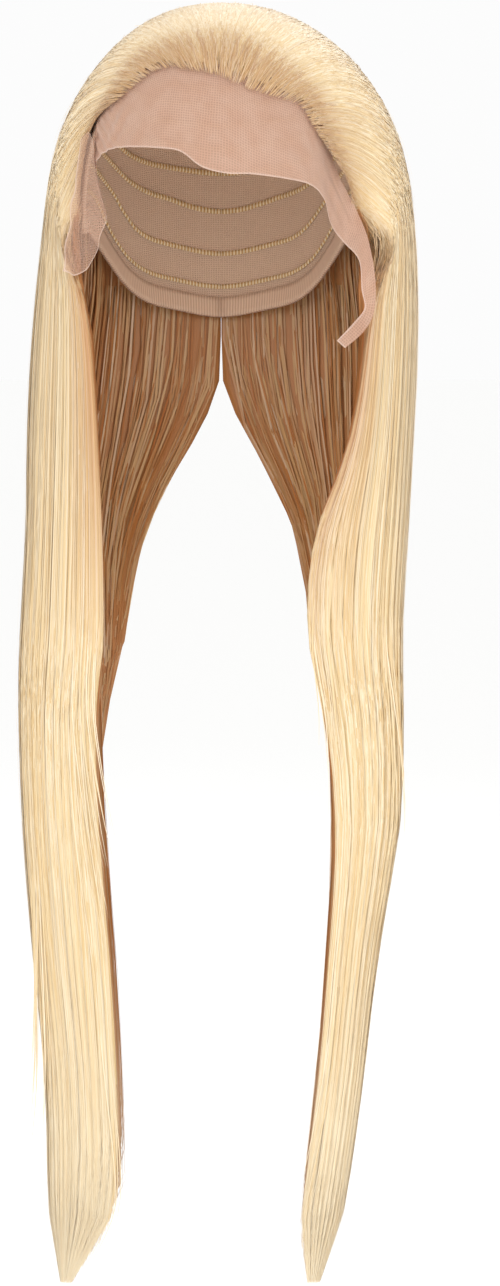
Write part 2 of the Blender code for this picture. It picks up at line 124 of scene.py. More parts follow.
RIGHT_SECTIONS = (
    Section(0.00, 1.015, 0.725, 0.00, -0.26, 0.98, 0.56, 0.24),
    Section(0.09, 1.003, 0.740, 0.01, -0.31, 0.89, 0.50, 0.24),
    Section(0.155, 0.965, 0.665, 0.16, -0.38, 0.74, 0.48, 0.22),
    Section(0.22, 0.950, 0.500, 0.34, -0.47, 0.52, 0.50, 0.21),
    Section(0.285, 0.920, 0.438, 0.44, -0.53, 0.22, 0.66, 0.20),
    Section(0.35, 0.900, 0.445, 0.45, -0.58, -0.07, 0.88, 0.20),
    Section(0.415, 0.905, 0.520, 0.53, -0.62, -0.24, 0.94, 0.18),
    Section(0.53, 0.890, 0.580, 0.58, -0.62, -0.29, 0.81, 0.14),
    Section(0.66, 0.785, 0.540, 0.545, -0.60, -0.29, 0.65, 0.14),
    Section(0.79, 0.715, 0.490, 0.495, -0.56, -0.29, 0.58, 0.13),
    Section(0.895, 0.645, 0.425, 0.43, -0.53, -0.30, 0.58, 0.11),
    Section(0.955, 0.595, 0.395, 0.405, -0.50, -0.33, 0.52, 0.09),
    Section(1.00, 0.520, 0.420, 0.42, -0.45, -0.38, 0.25, 0.05),
)

# Hairline: share of the way from the middle of the forehead to the ear, and its place on the head in degrees
Root = namedtuple("Root", "share azimuth polar")
LEFT_HAIRLINE = (
    Root(0.00, 0, 50.0),
    Root(0.15, 14, 48.5),
    Root(0.30, 34, 48.0),
    Root(0.45, 46, 58.0),
    Root(0.60, 57, 65.5),
    Root(0.68, 66, 70.0),
    Root(0.75, 69, 74.0),
    Root(0.88, 74, 86.0),
    Root(1.00, 80, 100.0),
)
RIGHT_HAIRLINE = (
    Root(0.00, 0, 50.0),
    Root(0.15, 12, 55.0),
    Root(0.30, 26, 59.5),
    Root(0.45, 41, 63.5),
    Root(0.60, 47, 73.0),
    Root(0.75, 56, 82.0),
    Root(0.88, 68, 89.5),
    Root(1.00, 80, 101.0),
)

# Edge of the cap: its place on the head in degrees, the same on both sides
CapEdge = namedtuple("CapEdge", "azimuth polar")
CAP_EDGE = (
    CapEdge(0, 43),
    CapEdge(30, 43),
    CapEdge(46, 53),
    CapEdge(57, 61),
    CapEdge(66, 68),
    CapEdge(74, 81),
    CapEdge(82, 94),
    CapEdge(88, 96),
    CapEdge(100, 92),
    CapEdge(118, 97),
    CapEdge(140, 109),
    CapEdge(180, 114),
)

# The lace from the flap at the left temple to the tip of the right tail: hairline side and cut side, across
# as a share of half HEAD_BREADTH and down as a share of CROWN_HEIGHT. hold is 1 where it lies on the head and
# 0 where it hangs. forward is a share of half HEAD_LENGTH.
LaceRow = namedtuple("LaceRow", "top_across top_down edge_across edge_down hold forward")
LACE = (
    LaceRow(-1.00, 0.64, -1.14, 1.36, 0.00, -0.38),
    LaceRow(-0.99, 0.63, -1.04, 1.38, 0.00, -0.395),
    LaceRow(-0.97, 0.62, -0.95, 1.34, 0.00, -0.405),
    LaceRow(-0.95, 0.61, -0.90, 1.27, 0.00, -0.415),
    LaceRow(-0.93, 0.615, -0.82, 1.06, 0.05, -0.455),
    LaceRow(-0.90, 0.65, -0.87, 0.92, 0.27, -0.53),
    LaceRow(-0.86, 0.575, -0.86, 0.78, 1.00, -0.45),
    LaceRow(-0.76, 0.485, -0.78, 0.72, 1.00, -0.45),
    LaceRow(-0.60, 0.37, -0.66, 0.705, 1.00, -0.45),
    LaceRow(-0.40, 0.275, -0.46, 0.71, 1.00, -0.45),
    LaceRow(-0.22, 0.275, -0.27, 0.73, 1.00, -0.45),
    LaceRow(-0.06, 0.29, -0.12, 0.81, 1.00, -0.45),
    LaceRow(0.06, 0.31, 0.05, 0.845, 1.00, -0.45),
    LaceRow(0.22, 0.37, 0.24, 0.85, 1.00, -0.45),
    LaceRow(0.42, 0.42, 0.45, 0.87, 1.00, -0.45),
    LaceRow(0.61, 0.48, 0.63, 0.90, 1.00, -0.45),
    LaceRow(0.72, 0.64, 0.73, 0.97, 0.90, -0.46),
    LaceRow(0.84, 0.84, 0.80, 1.10, 0.45, -0.47),
    LaceRow(0.97, 1.00, 0.90, 1.20, 0.10, -0.42),
    LaceRow(1.07, 1.17, 1.01, 1.30, 0.00, -0.405),
    LaceRow(1.13, 1.40, 1.03, 1.46, 0.00, -0.385),
    LaceRow(1.12, 1.58, 1.05, 1.56, 0.00, -0.40),
    LaceRow(1.04, 1.69, 0.97, 1.64, 0.00, -0.42),
    LaceRow(0.91, 1.775, 0.85, 1.735, 0.00, -0.43),
)
LACE_ROWS = 40
LACE_STEPS = 16  # columns for each row of the lace table

# Soft folds in the lace: where on the front, how far they reach, height, distance between ridges, and lean
Fold = namedtuple("Fold", "across level reach_across reach_level height pitch lean")
FOLDS = (
    Fold(-0.004, -0.055, 0.005, 0.030, -0.0006, 0.030, 0.0),
    Fold(0.012, -0.070, 0.010, 0.016, 0.0004, 0.022, 0.3),
    Fold(-0.064, -0.062, 0.009, 0.015, 0.0008, 0.0050, 0.55),
    Fold(-0.055, -0.058, 0.008, 0.010, 0.0005, 0.0064, -0.5),
    Fold(0.068, -0.092, 0.010, 0.016, 0.0008, 0.0065, 0.5),
    Fold(0.040, -0.078, 0.016, 0.010, 0.0003, 0.0130, 0.9),
    Fold(-0.030, -0.062, 0.018, 0.010, 0.0003, 0.0150, -0.7),
)
FLAP_FOLD = (0.0008, 0.0105)  # height of the folds in the hanging flap and the distance between them
FLAP_LEAN = 0.35
FLAP_RISE = 3  # how fast the flap's folds grow on the way down, and how fast all folds do below TIED_SHARE
FOLD_RISE = 6
TIED_SHARE = 0.25  # share of the way down the lace that stays flat, where the hair is tied through it
RUFFLE_START = 17.0  # row of the table where the tail's ruffle sets in, and rows until it is full
RUFFLE_EASE = 3.0
RUFFLE_TURN = 2.4  # radians for each row of the table
RUFFLE_HINGE = 0.3  # share of the way down the lace that the ruffle turns about

CAP_ROUNDING = (-9.0, -6.0, -3.0, 0.0, 3.0, 6.0, 9.0)  # degrees over which its edge's corners are rounded off
CAP_TOP = 0.004  # share of the way down where the cap's first row lies
CAP_ROWS = 26
CAP_COLUMNS = 72

# One layer of strands in a hair piece. shallow and deep are shares of the way from the outer to the inner
# side, start is the share of the length over which roots spread, end where the longest strands stop, and
# shortest the share of that by which others stop early. The column after frizz is painted shade: how far
# the layer's tone goes to the warm dark tone of hair in shade. An ease below 1 gathers the roots at the far
# end of start, and above 1 at the near.
Layer = namedtuple(
    "Layer", "name strands segments width shallow deep start end shortest lift frizz brown ease"
)
HAIR_LAYERS = (
    Layer("cover", 2600, 24, 0.00078, -0.02, 0.05, 0.045, 1.00, 0.22, 0.0004, 1.0, 0.0, 1.1),
    Layer("body", 640, 20, 0.0012, 0.05, 0.50, 0.160, 1.00, 0.34, 0.0005, 1.0, 0.15, 1.6),
    Layer("under", 430, 16, 0.0013, 0.72, 1.00, 0.160, 1.00, 0.40, 0.0005, 1.0, 0.88, 1.6),
    Layer("hairline", 600, 11, 0.00050, -0.02, 0.30, 0.014, 0.42, 0.75, 0.0006, 1.5, 0.10, 0.9),
    Layer("loose", 60, 24, 0.00036, -0.03, 0.05, 0.100, 1.00, 0.40, 0.0030, 5.0, 0.0, 1.6),
)
# Sparse first roots, tied through the lace ahead of the hairline. They join the hair behind it.
FRINGE = Layer("fringe", 620, 6, 0.00034, -0.05, 0.10, 0.40, 1.00, 0.55, 0.0009, 2.0, 0.55, 1.2)
FRINGE_AHEAD = 0.0075
FRINGE_ROWS = 7  # flow rows that they run along

# Thin wisps that stray from a fall: where they leave it, as the flow's u and v, and how far their tips stand
# off it, sideways and to the back
Wisp = namedtuple("Wisp", "side u start end strands out")
WISPS = (
    Wisp("left", 0.30, 0.62, 0.88, 16, (-0.014, -0.002)),
    Wisp("left", 0.86, 0.42, 0.68, 12, (0.018, -0.004)),
    Wisp("left", 0.80, 0.50, 0.74, 7, (0.010, -0.003)),
    Wisp("left", 0.90, 0.76, 0.99, 6, (0.008, -0.002)),
    Wisp("right", 0.35, 0.42, 0.62, 8, (0.008, -0.002)),
    Wisp("right", 0.88, 0.38, 0.60, 8, (-0.010, -0.003)),
    Wisp("right", 0.82, 0.74, 0.98, 7, (-0.009, -0.002)),
)
WISP_SEGMENTS = 14
WISP_WIDTH = 0.0007
WISP_SPREAD = 0.05
WISP_EARLY = 0.3  # largest share of its length that a wisp's strand stops early by
WISP_TURN = 0.6  # radians either way
WISP_REACH = (0.35, 1.0)  # shares of the way out that its strands go
WISP_BEND = (1.6, 1.2)  # above 1 they leave the fall slowly, sideways and to the back
WISP_TONES = (0.3, 1.0)
WISP_SEED = 7

Side = namedtuple("Side", "name sign sections hairline scalp_breadth")
SIDES = (
    Side("left", -1.0, LEFT_SECTIONS, LEFT_HAIRLINE, 0.83),
    Side("right", 1.0, RIGHT_SECTIONS, RIGHT_HAIRLINE, 0.92),
)
# A part's last column is how much painted shade its front edge takes on the upper half of its length.
Part = namedtuple("Part", "name low high locks edge_brown")
PARTS = (Part("front", 0.5, 1.0, 13, 0.85), Part("back", 0.0, 0.5, 12, 0.0))

# Lights: name, place, size across and power in watts
LIGHTS = (
    ("key", (-0.9, -2.1, 0.7), 1.6, 11.5),
    ("fill", (1.4, -1.8, 0.3), 1.6, 8.6),
    ("rim", (0.5, 1.5, 1.0), 1.4, 5.0),
)
LIGHT_TARGET = (0.0, 0.0, -0.25)
WORLD_LIGHT = 0.97
WORLD_SEEN = 0.975  # how bright the camera sees the world, so that it meets the floor


def linear(code):
    """Linear RGBA of an sRGB colour given as a hex code."""
    shares = [int(code[place : place + 2], 16) / 255 for place in (1, 3, 5)]
    tones = [share / 12.92 if share <= 0.04045 else ((share + 0.055) / 1.055) ** 2.4 for share in shares]
    return (*tones, 1.0)


# Settings that a user would change


class HairSettings(bpy.types.PropertyGroup):
    density: bpy.props.FloatProperty(
        name="Density", description="Share of the full number of strands", default=1.0, min=0.05, max=1.0
    )
    width: bpy.props.FloatProperty(
        name="Strand width", description="Share of the drawn width of a strand", default=1.0, min=0.2, max=3
    )
    lock_pull: bpy.props.FloatProperty(
        name="Lock pull", description="How far strands gather into locks", default=0.38, min=0.0, max=1.0
    )
    wander: bpy.props.FloatProperty(
        name="Wander", description="How far strands stray, as a share of a piece", default=0.05, max=0.3
    )
    light_tone: bpy.props.FloatVectorProperty(
        name="Light tone", description="Palest strands", subtype="COLOR", size=4, default=linear("#F8E8CA")
    )
    middle_tone: bpy.props.FloatVectorProperty(
        name="Middle tone", description="Most strands", subtype="COLOR", size=4, default=linear("#F0D9AE")
    )
    deep_tone: bpy.props.FloatVectorProperty(
        name="Deep tone", description="Deepest strands", subtype="COLOR", size=4, default=linear("#E2BF88")
    )
    # Painted shade: the tone that shaded strands are painted toward.
    painted_shade_tone: bpy.props.FloatVectorProperty(
        name="Brown tone", description="Strands in shade", subtype="COLOR", size=4, default=linear("#B0692F")
    )


class LaceSettings(bpy.types.PropertyGroup):
    cell: bpy.props.FloatProperty(
        name="Mesh size", description="Width of a hole", default=0.0014, unit="LENGTH", min=0.0004
    )
    cover: bpy.props.FloatProperty(
        name="Cover", description="Share of light stopped by the holes", default=0.70, min=0.0, max=1.0
    )
    tint: bpy.props.FloatVectorProperty(
        name="Tint", description="Lace thread", subtype="COLOR", size=4, default=linear("#C39A83")
    )


class CapSettings(bpy.types.PropertyGroup):
    tracks: bpy.props.IntProperty(name="Tracks", description="Sewn rows of hair", default=13, min=2)
    track_height: bpy.props.FloatProperty(
        name="Track height", description="Height of a row", default=0.003, unit="LENGTH", min=0.001, max=0.01
    )
    tint: bpy.props.FloatVectorProperty(
        name="Tint", description="Colour of the cap net", subtype="COLOR", size=4, default=linear("#E6C8AE")
    )


class StageSettings(bpy.types.PropertyGroup):
    floor_level: bpy.props.FloatProperty(
        name="Floor level", description="Height of the floor", default=-0.745, unit="LENGTH"
    )
    camera_distance: bpy.props.FloatProperty(
        name="Camera distance", description="Camera to the wig's middle plane", default=2.4, unit="LENGTH"
    )
    floor_tint: bpy.props.FloatVectorProperty(
        name="Floor tint", description="The floor", subtype="COLOR", size=4, default=linear("#FFFFFE")
    )


# Shape of the head and of the hair over it


def column(table, name):
    """Values of one named column of a table."""
    return np.array([getattr(row, name) for row in table], dtype=float)


def eased(share, table, name):
    """Value of a table's column at each share, with its corners rounded off."""
    keys, values = column(table, table[0]._fields[0]), column(table, name)
    room = np.minimum(1.0, np.minimum(share, 1.0 - share) / ROUNDING[-1])
    return sum(np.interp(share + shift * room, keys, values) for shift in ROUNDING) / len(ROUNDING)


def head_radii(offset, polar):
    """Half breadth, half length and height of the head's rounding, grown by offset."""
    height = np.where(np.asarray(polar) <= 90.0, CROWN_HEIGHT, NAPE_HEIGHT)
    return HEAD_BREADTH / 2 + offset, HEAD_LENGTH / 2 + offset, height + offset


def head_point(azimuth, polar, offset):
    """Point on the head's squared ellipsoid, grown by offset. Angles in degrees."""
    breadth, length, height = head_radii(offset, polar)
    turn, tilt = np.radians(azimuth), np.radians(polar)
    power = 2.0 / HEAD_SQUARENESS
    radius = np.abs(np.sin(tilt)) ** power
    rise = np.sign(np.cos(tilt)) * np.abs(np.cos(tilt)) ** power
    place = [breadth * radius * np.sin(turn), -length * radius * np.cos(turn), height * rise]
    return np.stack(place, axis=-1) + HEAD_CENTRE


def head_rim(azimuth, drop, offset):
    """Point on the head's lower half, grown by offset, at a drop below its widest level."""
    breadth, length, height = head_radii(offset, 180.0)
    turn = np.radians(azimuth)
    radius = (1.0 - (np.maximum(drop, 0.0) / height) ** HEAD_SQUARENESS) ** (1.0 / HEAD_SQUARENESS)
    place = np.stack([breadth * radius * np.sin(turn), -length * radius * np.cos(turn), -drop], axis=-1)
    return place + HEAD_CENTRE


def head_angles(across, level):
    """Azimuth and polar angle of the point on the head's front at a sideways place and a level."""
    rise = np.clip((level - HEAD_CENTRE[2]) / CROWN_HEIGHT, -0.999, 0.999)
    power = HEAD_SQUARENESS / 2.0
    tilt = np.arccos(np.sign(rise) * np.abs(rise) ** power)
    radius = np.sin(tilt) ** (1.0 / power)
    turn = np.arcsin(np.clip(across / (HEAD_BREADTH / 2 * radius), -0.995, 0.995))
    return np.degrees(turn), np.degrees(tilt)


def clear_of_head(points, offset):
    """Move points that lie inside the head, grown by offset, straight out to its surface."""
    arm = points - HEAD_CENTRE
    polar = np.where(arm[..., 2] >= 0.0, 0.0, 180.0)
    breadth, length, height = head_radii(offset, polar)
    flat = (arm[..., 0] / breadth) ** 2 + (arm[..., 1] / length) ** 2
    size = flat ** (HEAD_SQUARENESS / 2) + np.abs(arm[..., 2] / height) ** HEAD_SQUARENESS
    growth = np.maximum(1.0, np.maximum(size, 1e-6) ** (-1.0 / HEAD_SQUARENESS))
    return HEAD_CENTRE + arm * growth[..., None]


def section_points(side, sign, share, station):
    """Outer and inner points of one section row. share is 0 at the back edge and 1 at the front edge."""
    row = side.sections[station]
    bow = np.sin(math.pi * share)
    swing = np.cos(math.pi * share)
    base = SPREAD * (row.back_in + (row.front_in - row.back_in) * share)
    middle = REACH * (row.front + row.back) / 2
    half = REACH * (row.back - row.front) / 2
    level = np.full_like(share, FREE_LEVEL - FALL_DROP * row.drop)
    outer_x = base + (SPREAD * row.outer - base) * bow
    inner_x = base + (SPREAD * row.outer - base - FALL_BODY * row.wall) * bow
    inner_half = half - FALL_BODY * row.lip
    outer = np.stack([sign * outer_x, middle + half * swing, level], axis=-1)
    inner = np.stack([sign * inner_x, middle + inner_half * swing, level], axis=-1)
    return outer, inner


def scalp_points(side, share):
    """Outer and inner points of the hair over the scalp, in rows from the roots to the free level."""
    root_turn = np.radians(eased(share, side.hairline, "azimuth"))
    root_tilt = eased(share, side.hairline, "polar") / 90.0
    start = np.stack([np.sin(root_turn), -np.cos(root_turn)], axis=-1) * root_tilt[:, None]
    rim, rim_inner = section_points(side, 1.0, share, 0)
    breadth, front, back = SPREAD * side.scalp_breadth, HEAD_LENGTH / 2 + FRONT_BODY, REACH
    length = np.where(rim[:, 1] < 0.0, front, back)
    aim = np.stack([rim[:, 0] / breadth, rim[:, 1] / length], axis=-1)
    stretch = np.linalg.norm(aim, axis=-1)
    end = aim / stretch[:, None] * (SKIRT_POLAR / 90.0)
    bend = (start + end) / 2 + np.array([0.0, SWEEP_BACK])
    outer, inner = [], []
    for way in np.linspace(0.0, 1.0, SCALP_STEPS + 1) ** SCALP_EASE:
        plan = start * (1 - way) ** 2 + bend * 2 * way * (1 - way) + end * way**2
        reach = np.linalg.norm(plan, axis=-1)
        polar = reach * 90.0
        heading = plan / np.maximum(reach, 1e-6)[:, None]
        tilt = np.radians(np.minimum(polar, 90.0))
        level = np.where(
            polar < 90.0,
            (CROWN_HEIGHT + CROWN_BODY) * np.cos(tilt),
            -SKIRT_DROP * (polar - 90.0) / (SKIRT_POLAR - 90.0),
        )
        depth = np.where(heading[:, 1] < 0.0, front, back)
        swell = np.sin(tilt) * (1 + (stretch - 1) * way**STRETCH_EASE)
        place = np.stack([breadth * heading[:, 0] * swell, depth * heading[:, 1] * swell, level], axis=-1)
        place = place + HEAD_CENTRE
        azimuth = np.degrees(np.arctan2(heading[:, 0], -heading[:, 1]))
        seat = head_point(azimuth, np.minimum(polar, 90.0), HAIR_SEAT)
        seat = np.where((polar > 90.0)[:, None], head_rim(azimuth, -level, HAIR_SEAT), seat)
        rise = min(1.0, way / RISE_WAY) ** RISE_EASE
        top = seat + (place - seat) * rise
        under = seat + (rim_inner - seat) * way**UNDER_EASE
        outer.append(top * (side.sign, 1.0, 1.0))
        inner.append(under * (side.sign, 1.0, 1.0))
    return outer, inner


def smooth_rows(keys, places):
    """Read a smooth curve through keys, shaped (stations, columns, 3), at a place for each row and column."""
    last = len(keys) - 1
    first = np.clip(np.floor(places).astype(int), 0, last - 1)
    part = (places - first)[..., None]
    columns = np.arange(keys.shape[1])[None, :]
    before = keys[np.maximum(first - 1, 0), columns]
    here = keys[first, columns]
    after = keys[first + 1, columns]
    beyond = keys[np.minimum(first + 2, last), columns]
    return here + part * 0.5 * (
        (after - before)
        + part * (2 * before - 5 * here + 4 * after - beyond)
        + part**2 * (3 * (here - after) + beyond - before)
    )


def unfolded(points, share):
    """Smooth a grid's front columns where hair leaves the head, so that strands run on without a fold."""
    row = np.arange(1, len(points) - 1)[:, None]
    ease = np.clip(np.minimum(row - UNFOLD_ROWS[0], UNFOLD_ROWS[1] - row) / UNFOLD_EASE, 0.0, 1.0) / 2
    ease = (ease * np.clip((share - UNFOLD_SHARES[0]) / np.ptp(UNFOLD_SHARES), 0.0, 1.0))[..., None]
    for _ in range(UNFOLD_TIMES):
        points[1:-1] += ease * ((points[:-2] + points[2:]) / 2 - points[1:-1])
    return points


def flow_grids(side, low, high):
    """Grids of outer and inner points of one hair piece, rows running from the roots to the tips."""
    share = np.linspace(low, high, FLOW_COLUMNS)
    outer, inner = scalp_points(side, share)
    for station in range(1, len(side.sections)):
        hang_outer, hang_inner = section_points(side, side.sign, share, station)
        outer.append(hang_outer)
        inner.append(hang_inner)
    outer, inner = np.array(outer), np.array(inner)
    rows = np.arange(0.0, len(outer) - 1 + FLOW_ROW_STEP / 2, FLOW_ROW_STEP)[:, None]
    places = np.repeat(rows, FLOW_COLUMNS, axis=1)
    seat = HAIR_SEAT + CAP_LIFT * np.clip(rows / LIFT_ROWS, 0.0, 1.0)
    inner = clear_of_head(unfolded(smooth_rows(inner, places), share), seat)
    outer = clear_of_head(unfolded(smooth_rows(outer, places), share), seat + HAIR_MIN)
    for points in (outer, inner):
        points[..., 0] = side.sign * np.maximum(side.sign * points[..., 0], SEAM_GAP / 2)
    return outer, inner


def tapered(outer, inner, toward):
    """Draw the last rows of a hair piece in towards one of its columns, as tips thin out."""
    way = way_along(outer)
    gather = 1.0 - TIP_TAPER * np.clip((way - TIP_START) / (1.0 - TIP_START), 0.0, 1.0) ** TIP_EASE
    middle = (outer[:, toward] + inner[:, toward]) / 2
    return [middle[:, None] + (points - middle[:, None]) * gather[:, None, None] for points in (outer, inner)]


def way_along(grid):
    """Share of the length from the roots at each row of a grid."""
    steps = np.linalg.norm(np.diff(grid, axis=0), axis=-1).mean(axis=1)
    way = np.concatenate([[0.0], np.cumsum(steps)])
    return way / way[-1]


def fringe_grid(outer):
    """Grid of points from the lace ahead of the hairline to the first rows of the hair."""
    run = outer[2] - outer[0]
    run /= np.linalg.norm(run, axis=-1, keepdims=True)
    ahead = clear_of_head(outer[0] - run * FRINGE_AHEAD, LACE_SEAT + LACE_WALL)
    return np.concatenate([ahead[None], outer[:FRINGE_ROWS]])


def wisp_strips(side, outer, along):
    """Points and map of the strips of one side's wisps, each bending away from its fall as an arc."""
    chance = np.random.default_rng(WISP_SEED)
    spots, maps = [], []
    way = np.linspace(0.0, 1.0, WISP_SEGMENTS + 1)
    last = FLOW_COLUMNS - 1
    for wisp in WISPS:
        if wisp.side != side.name:
            continue
        for strand in range(wisp.strands):
            u = np.clip(wisp.u + chance.normal(0.0, WISP_SPREAD), 0.0, 1.0)
            end = wisp.end - chance.uniform(0.0, WISP_EARLY) * (wisp.end - wisp.start)
            rows = np.interp(wisp.start + (end - wisp.start) * way, along, np.arange(len(along)))
            line = smooth_rows(outer, np.repeat(rows[:, None], FLOW_COLUMNS, axis=1))
            lines = line.transpose(0, 2, 1).reshape(-1, FLOW_COLUMNS)
            spot = np.array([np.interp(u * last, np.arange(FLOW_COLUMNS), points) for points in lines])
            spot = spot.reshape(-1, 3)
            reach = chance.uniform(*WISP_REACH)
            for axis, bend in enumerate(WISP_BEND):
                spot[:, axis] += wisp.out[axis] * reach * way**bend
            width = WISP_WIDTH / 2 * np.minimum(1.0, 0.3 + 4 * way) * (1.0 - 0.9 * way**3)
            turn = chance.uniform(-WISP_TURN, WISP_TURN)
            flat = np.array([math.cos(turn), math.sin(turn), 0.0])
            spots.append(np.stack([spot - flat * width[:, None], spot + flat * width[:, None]], axis=1))
            tone = chance.uniform(*WISP_TONES)
            maps.append(np.stack([np.full((len(way), 2), tone), np.repeat(way[:, None], 2, axis=1)], axis=-1))
    return spots, maps


# Meshes, nodes and materials


def grid_mesh(name, grids, uv, closed=False):
    """Mesh of quads over one grid of points, or over two that bound a closed wall, with a UV map."""
    rows, columns = grids[0].shape[:2]
    verts = np.concatenate([grid.reshape(-1, 3) for grid in grids])
    index = np.arange(rows * columns).reshape(rows, columns)
    quads = np.stack([index[:-1, :-1], index[:-1, 1:], index[1:, 1:], index[1:, :-1]], axis=-1).reshape(-1, 4)
    faces = [quads]
    if closed:
        other = rows * columns
        faces.append(quads[:, ::-1] + other)
        rim = np.concatenate([index[0, :], index[1:, -1], index[-1, -2::-1], index[-2:0:-1, 0]])
        ahead = np.roll(rim, -1)
        faces.append(np.stack([ahead, rim, rim + other, ahead + other], axis=-1))
    faces = np.concatenate(faces)
    mesh = bpy.data.meshes.new(name)
    mesh.from_pydata(verts.tolist(), [], faces.tolist())
    flat = np.concatenate([uv.reshape(-1, 2)] * len(grids))
    layer = mesh.uv_layers.new(name="UVMap")
    layer.data.foreach_set("uv", flat[faces.ravel()].astype(np.float32).ravel())
    mesh.shade_smooth()
    return mesh


def add_vectors(mesh, name, values):
    """Store a vector for each point of a mesh."""
    layer = mesh.attributes.new(name, "FLOAT_VECTOR", "POINT")
    layer.data.foreach_set("vector", values.reshape(-1, 3).astype(np.float32).ravel())


def add_numbers(mesh, name, values):
    """Store a number for each point of a mesh."""
    mesh.attributes.new(name, "FLOAT", "POINT").data.foreach_set("value", values.ravel().astype(np.float32))


def place(name, mesh, *materials):
    """Put a mesh in the scene under a name."""
    for material in materials:
        mesh.materials.append(material)
    piece = bpy.data.objects.new(name, mesh)
    bpy.context.scene.collection.objects.link(piece)
    return piece


def add(tree, kind, inputs=None, **settings):
    """Add a node. inputs go by name or number: a node or an output is linked, anything else is a value."""
    node = tree.nodes.new(kind)
    for name, value in settings.items():
        setattr(node, name, value)
    for key, value in (inputs or {}).items():
        if isinstance(value, bpy.types.Node):
            value = value.outputs[0]
        if isinstance(value, bpy.types.NodeSocket):
            tree.links.new(value, node.inputs[key])
        else:
            node.inputs[key].default_value = value
    return node


def new_material(name):
    """Material with an empty node tree."""
    material = bpy.data.materials.new(name)
    material.use_nodes = True
    material.node_tree.nodes.clear()
    return material, material.node_tree


def finish_material(tree, values):
    """Give a material its surface and its output."""
    surface = add(tree, "ShaderNodeBsdfPrincipled", values)
    add(tree, "ShaderNodeOutputMaterial", {0: surface})


def set_stops(node, stops):
    """Give a colour ramp its stops, as pairs of place and linear colour."""
    ramp = node.color_ramp
    while len(ramp.elements) < len(stops):
        ramp.elements.new(0.5)
    for element, (spot, tone) in zip(ramp.elements, stops):
        element.position = spot
        element.color = tone
    return node


DRIFT_ACROSS = 90.0  # how often the tone drifts from strand to strand, and along one
DRIFT_ALONG = 9.0


def strand_material(settings):
    """Bleached hair, combed straight: pale gold in finely mixed tones, with a gleam along the strand."""
    material, tree = new_material("bleached hair strands")
    place_on = add(tree, "ShaderNodeUVMap", uv_map="UVMap")
    parts = add(tree, "ShaderNodeSeparateXYZ", {0: place_on})
    tone, along = parts.outputs[0], parts.outputs[1]
    stops = (
        (0.0, settings.deep_tone),
        (0.18, linear("#EACE9C")),
        (0.55, settings.middle_tone),
        (0.85, settings.light_tone),
    )
    pale = set_stops(add(tree, "ShaderNodeValToRGB", {0: tone}), stops)
    # Painted shade: strands under the hair, deep in it and at a piece's front edge are mixed toward the shade
    # tone.
    brown = add(tree, "ShaderNodeAttribute", attribute_name="brown").outputs["Fac"]
    across_map = add(tree, "ShaderNodeMath", {0: tone, 1: DRIFT_ACROSS}, operation="MULTIPLY")
    down_map = add(tree, "ShaderNodeMath", {0: along, 1: DRIFT_ALONG}, operation="MULTIPLY")
    spot = add(tree, "ShaderNodeCombineXYZ", {0: across_map, 1: down_map})
    drift = add(tree, "ShaderNodeTexNoise", {"Vector": spot, "Scale": 1.0, "Detail": 2.0})
    shade = add(tree, "ShaderNodeMapRange", {0: drift, 1: 0.3, 2: 0.7, 3: 0.0, 4: 0.25})
    # Painted root shade: each strand darkens toward a deeper gold over the first 4.5 % of its length.
    root = add(tree, "ShaderNodeMapRange", {0: along, 1: 0.0, 2: 0.045, 3: 0.6, 4: 0.0})
    tip = add(tree, "ShaderNodeMapRange", {0: along, 1: 0.72, 2: 1.0, 3: 0.0, 4: 0.5})
    colour = pale
    for part, paint in (
        (brown, settings.painted_shade_tone),
        (shade, linear("#DDB97C")),
        (root, linear("#B98A58")),
        (tip, linear("#FBF0D6")),
    ):
        colour = add(tree, "ShaderNodeMix", {0: part, 6: colour, 7: paint}, data_type="RGBA").outputs[2]
    finish_material(
        tree,
        {
            "Base Color": colour,
            "Roughness": 0.42,
            "IOR": 1.55,
            "Specular IOR Level": 0.35,
            "Anisotropic": 0.7,
            "Tangent": add(tree, "ShaderNodeTangent", direction_type="UV_MAP", uv_map="UVMap"),
            "Sheen Weight": 0.12,
            "Sheen Roughness": 0.4,
        },
    )
    return material


def packed_hair_material(settings):
    """The depth of a lock, where strands lie close: the same gold in shade, in streaks 1 to 3 mm wide."""
    material, tree = new_material("packed hair")
    place_on = add(tree, "ShaderNodeUVMap", uv_map="UVMap")
    fine = add(tree, "ShaderNodeMapping", {0: place_on, "Scale": (70.0, 5.0, 1.0)})
    coarse = add(tree, "ShaderNodeMapping", {0: place_on, "Scale": (16.0, 2.0, 1.0)})
    thin = add(tree, "ShaderNodeTexNoise", {"Vector": fine, "Scale": 1.0, "Detail": 3.0})
    wide = add(tree, "ShaderNodeTexNoise", {"Vector": coarse, "Scale": 1.0, "Detail": 2.0})
    mixed = add(tree, "ShaderNodeMath", {0: thin, 1: wide}, operation="ADD")
    # Painted shade: these streaks are darker than the strands' tones, for the depth of a lock.
    stops = ((0.32, linear("#CDA569")), (0.48, linear("#E3C48D")), (0.66, linear("#F0D9AC")))
    half = add(tree, "ShaderNodeMath", {0: mixed, 1: 0.5}, operation="MULTIPLY")
    pale = set_stops(add(tree, "ShaderNodeValToRGB", {0: half}), stops)
    # Painted shade on the inner side of the mass, from the shade tone.
    brown = add(tree, "ShaderNodeAttribute", attribute_name="brown").outputs["Fac"]
    tone = add(tree, "ShaderNodeMix", {0: brown, 6: pale, 7: settings.painted_shade_tone}, data_type="RGBA")
    relief = add(tree, "ShaderNodeBump", {"Strength": 0.6, "Distance": 0.001, "Height": thin})
    finish_material(
        tree,
        {
            "Base Color": tone.outputs[2],
            "Roughness": 0.5,
            "IOR": 1.55,
            "Anisotropic": 0.5,
            "Normal": relief,
        },
    )
    return material


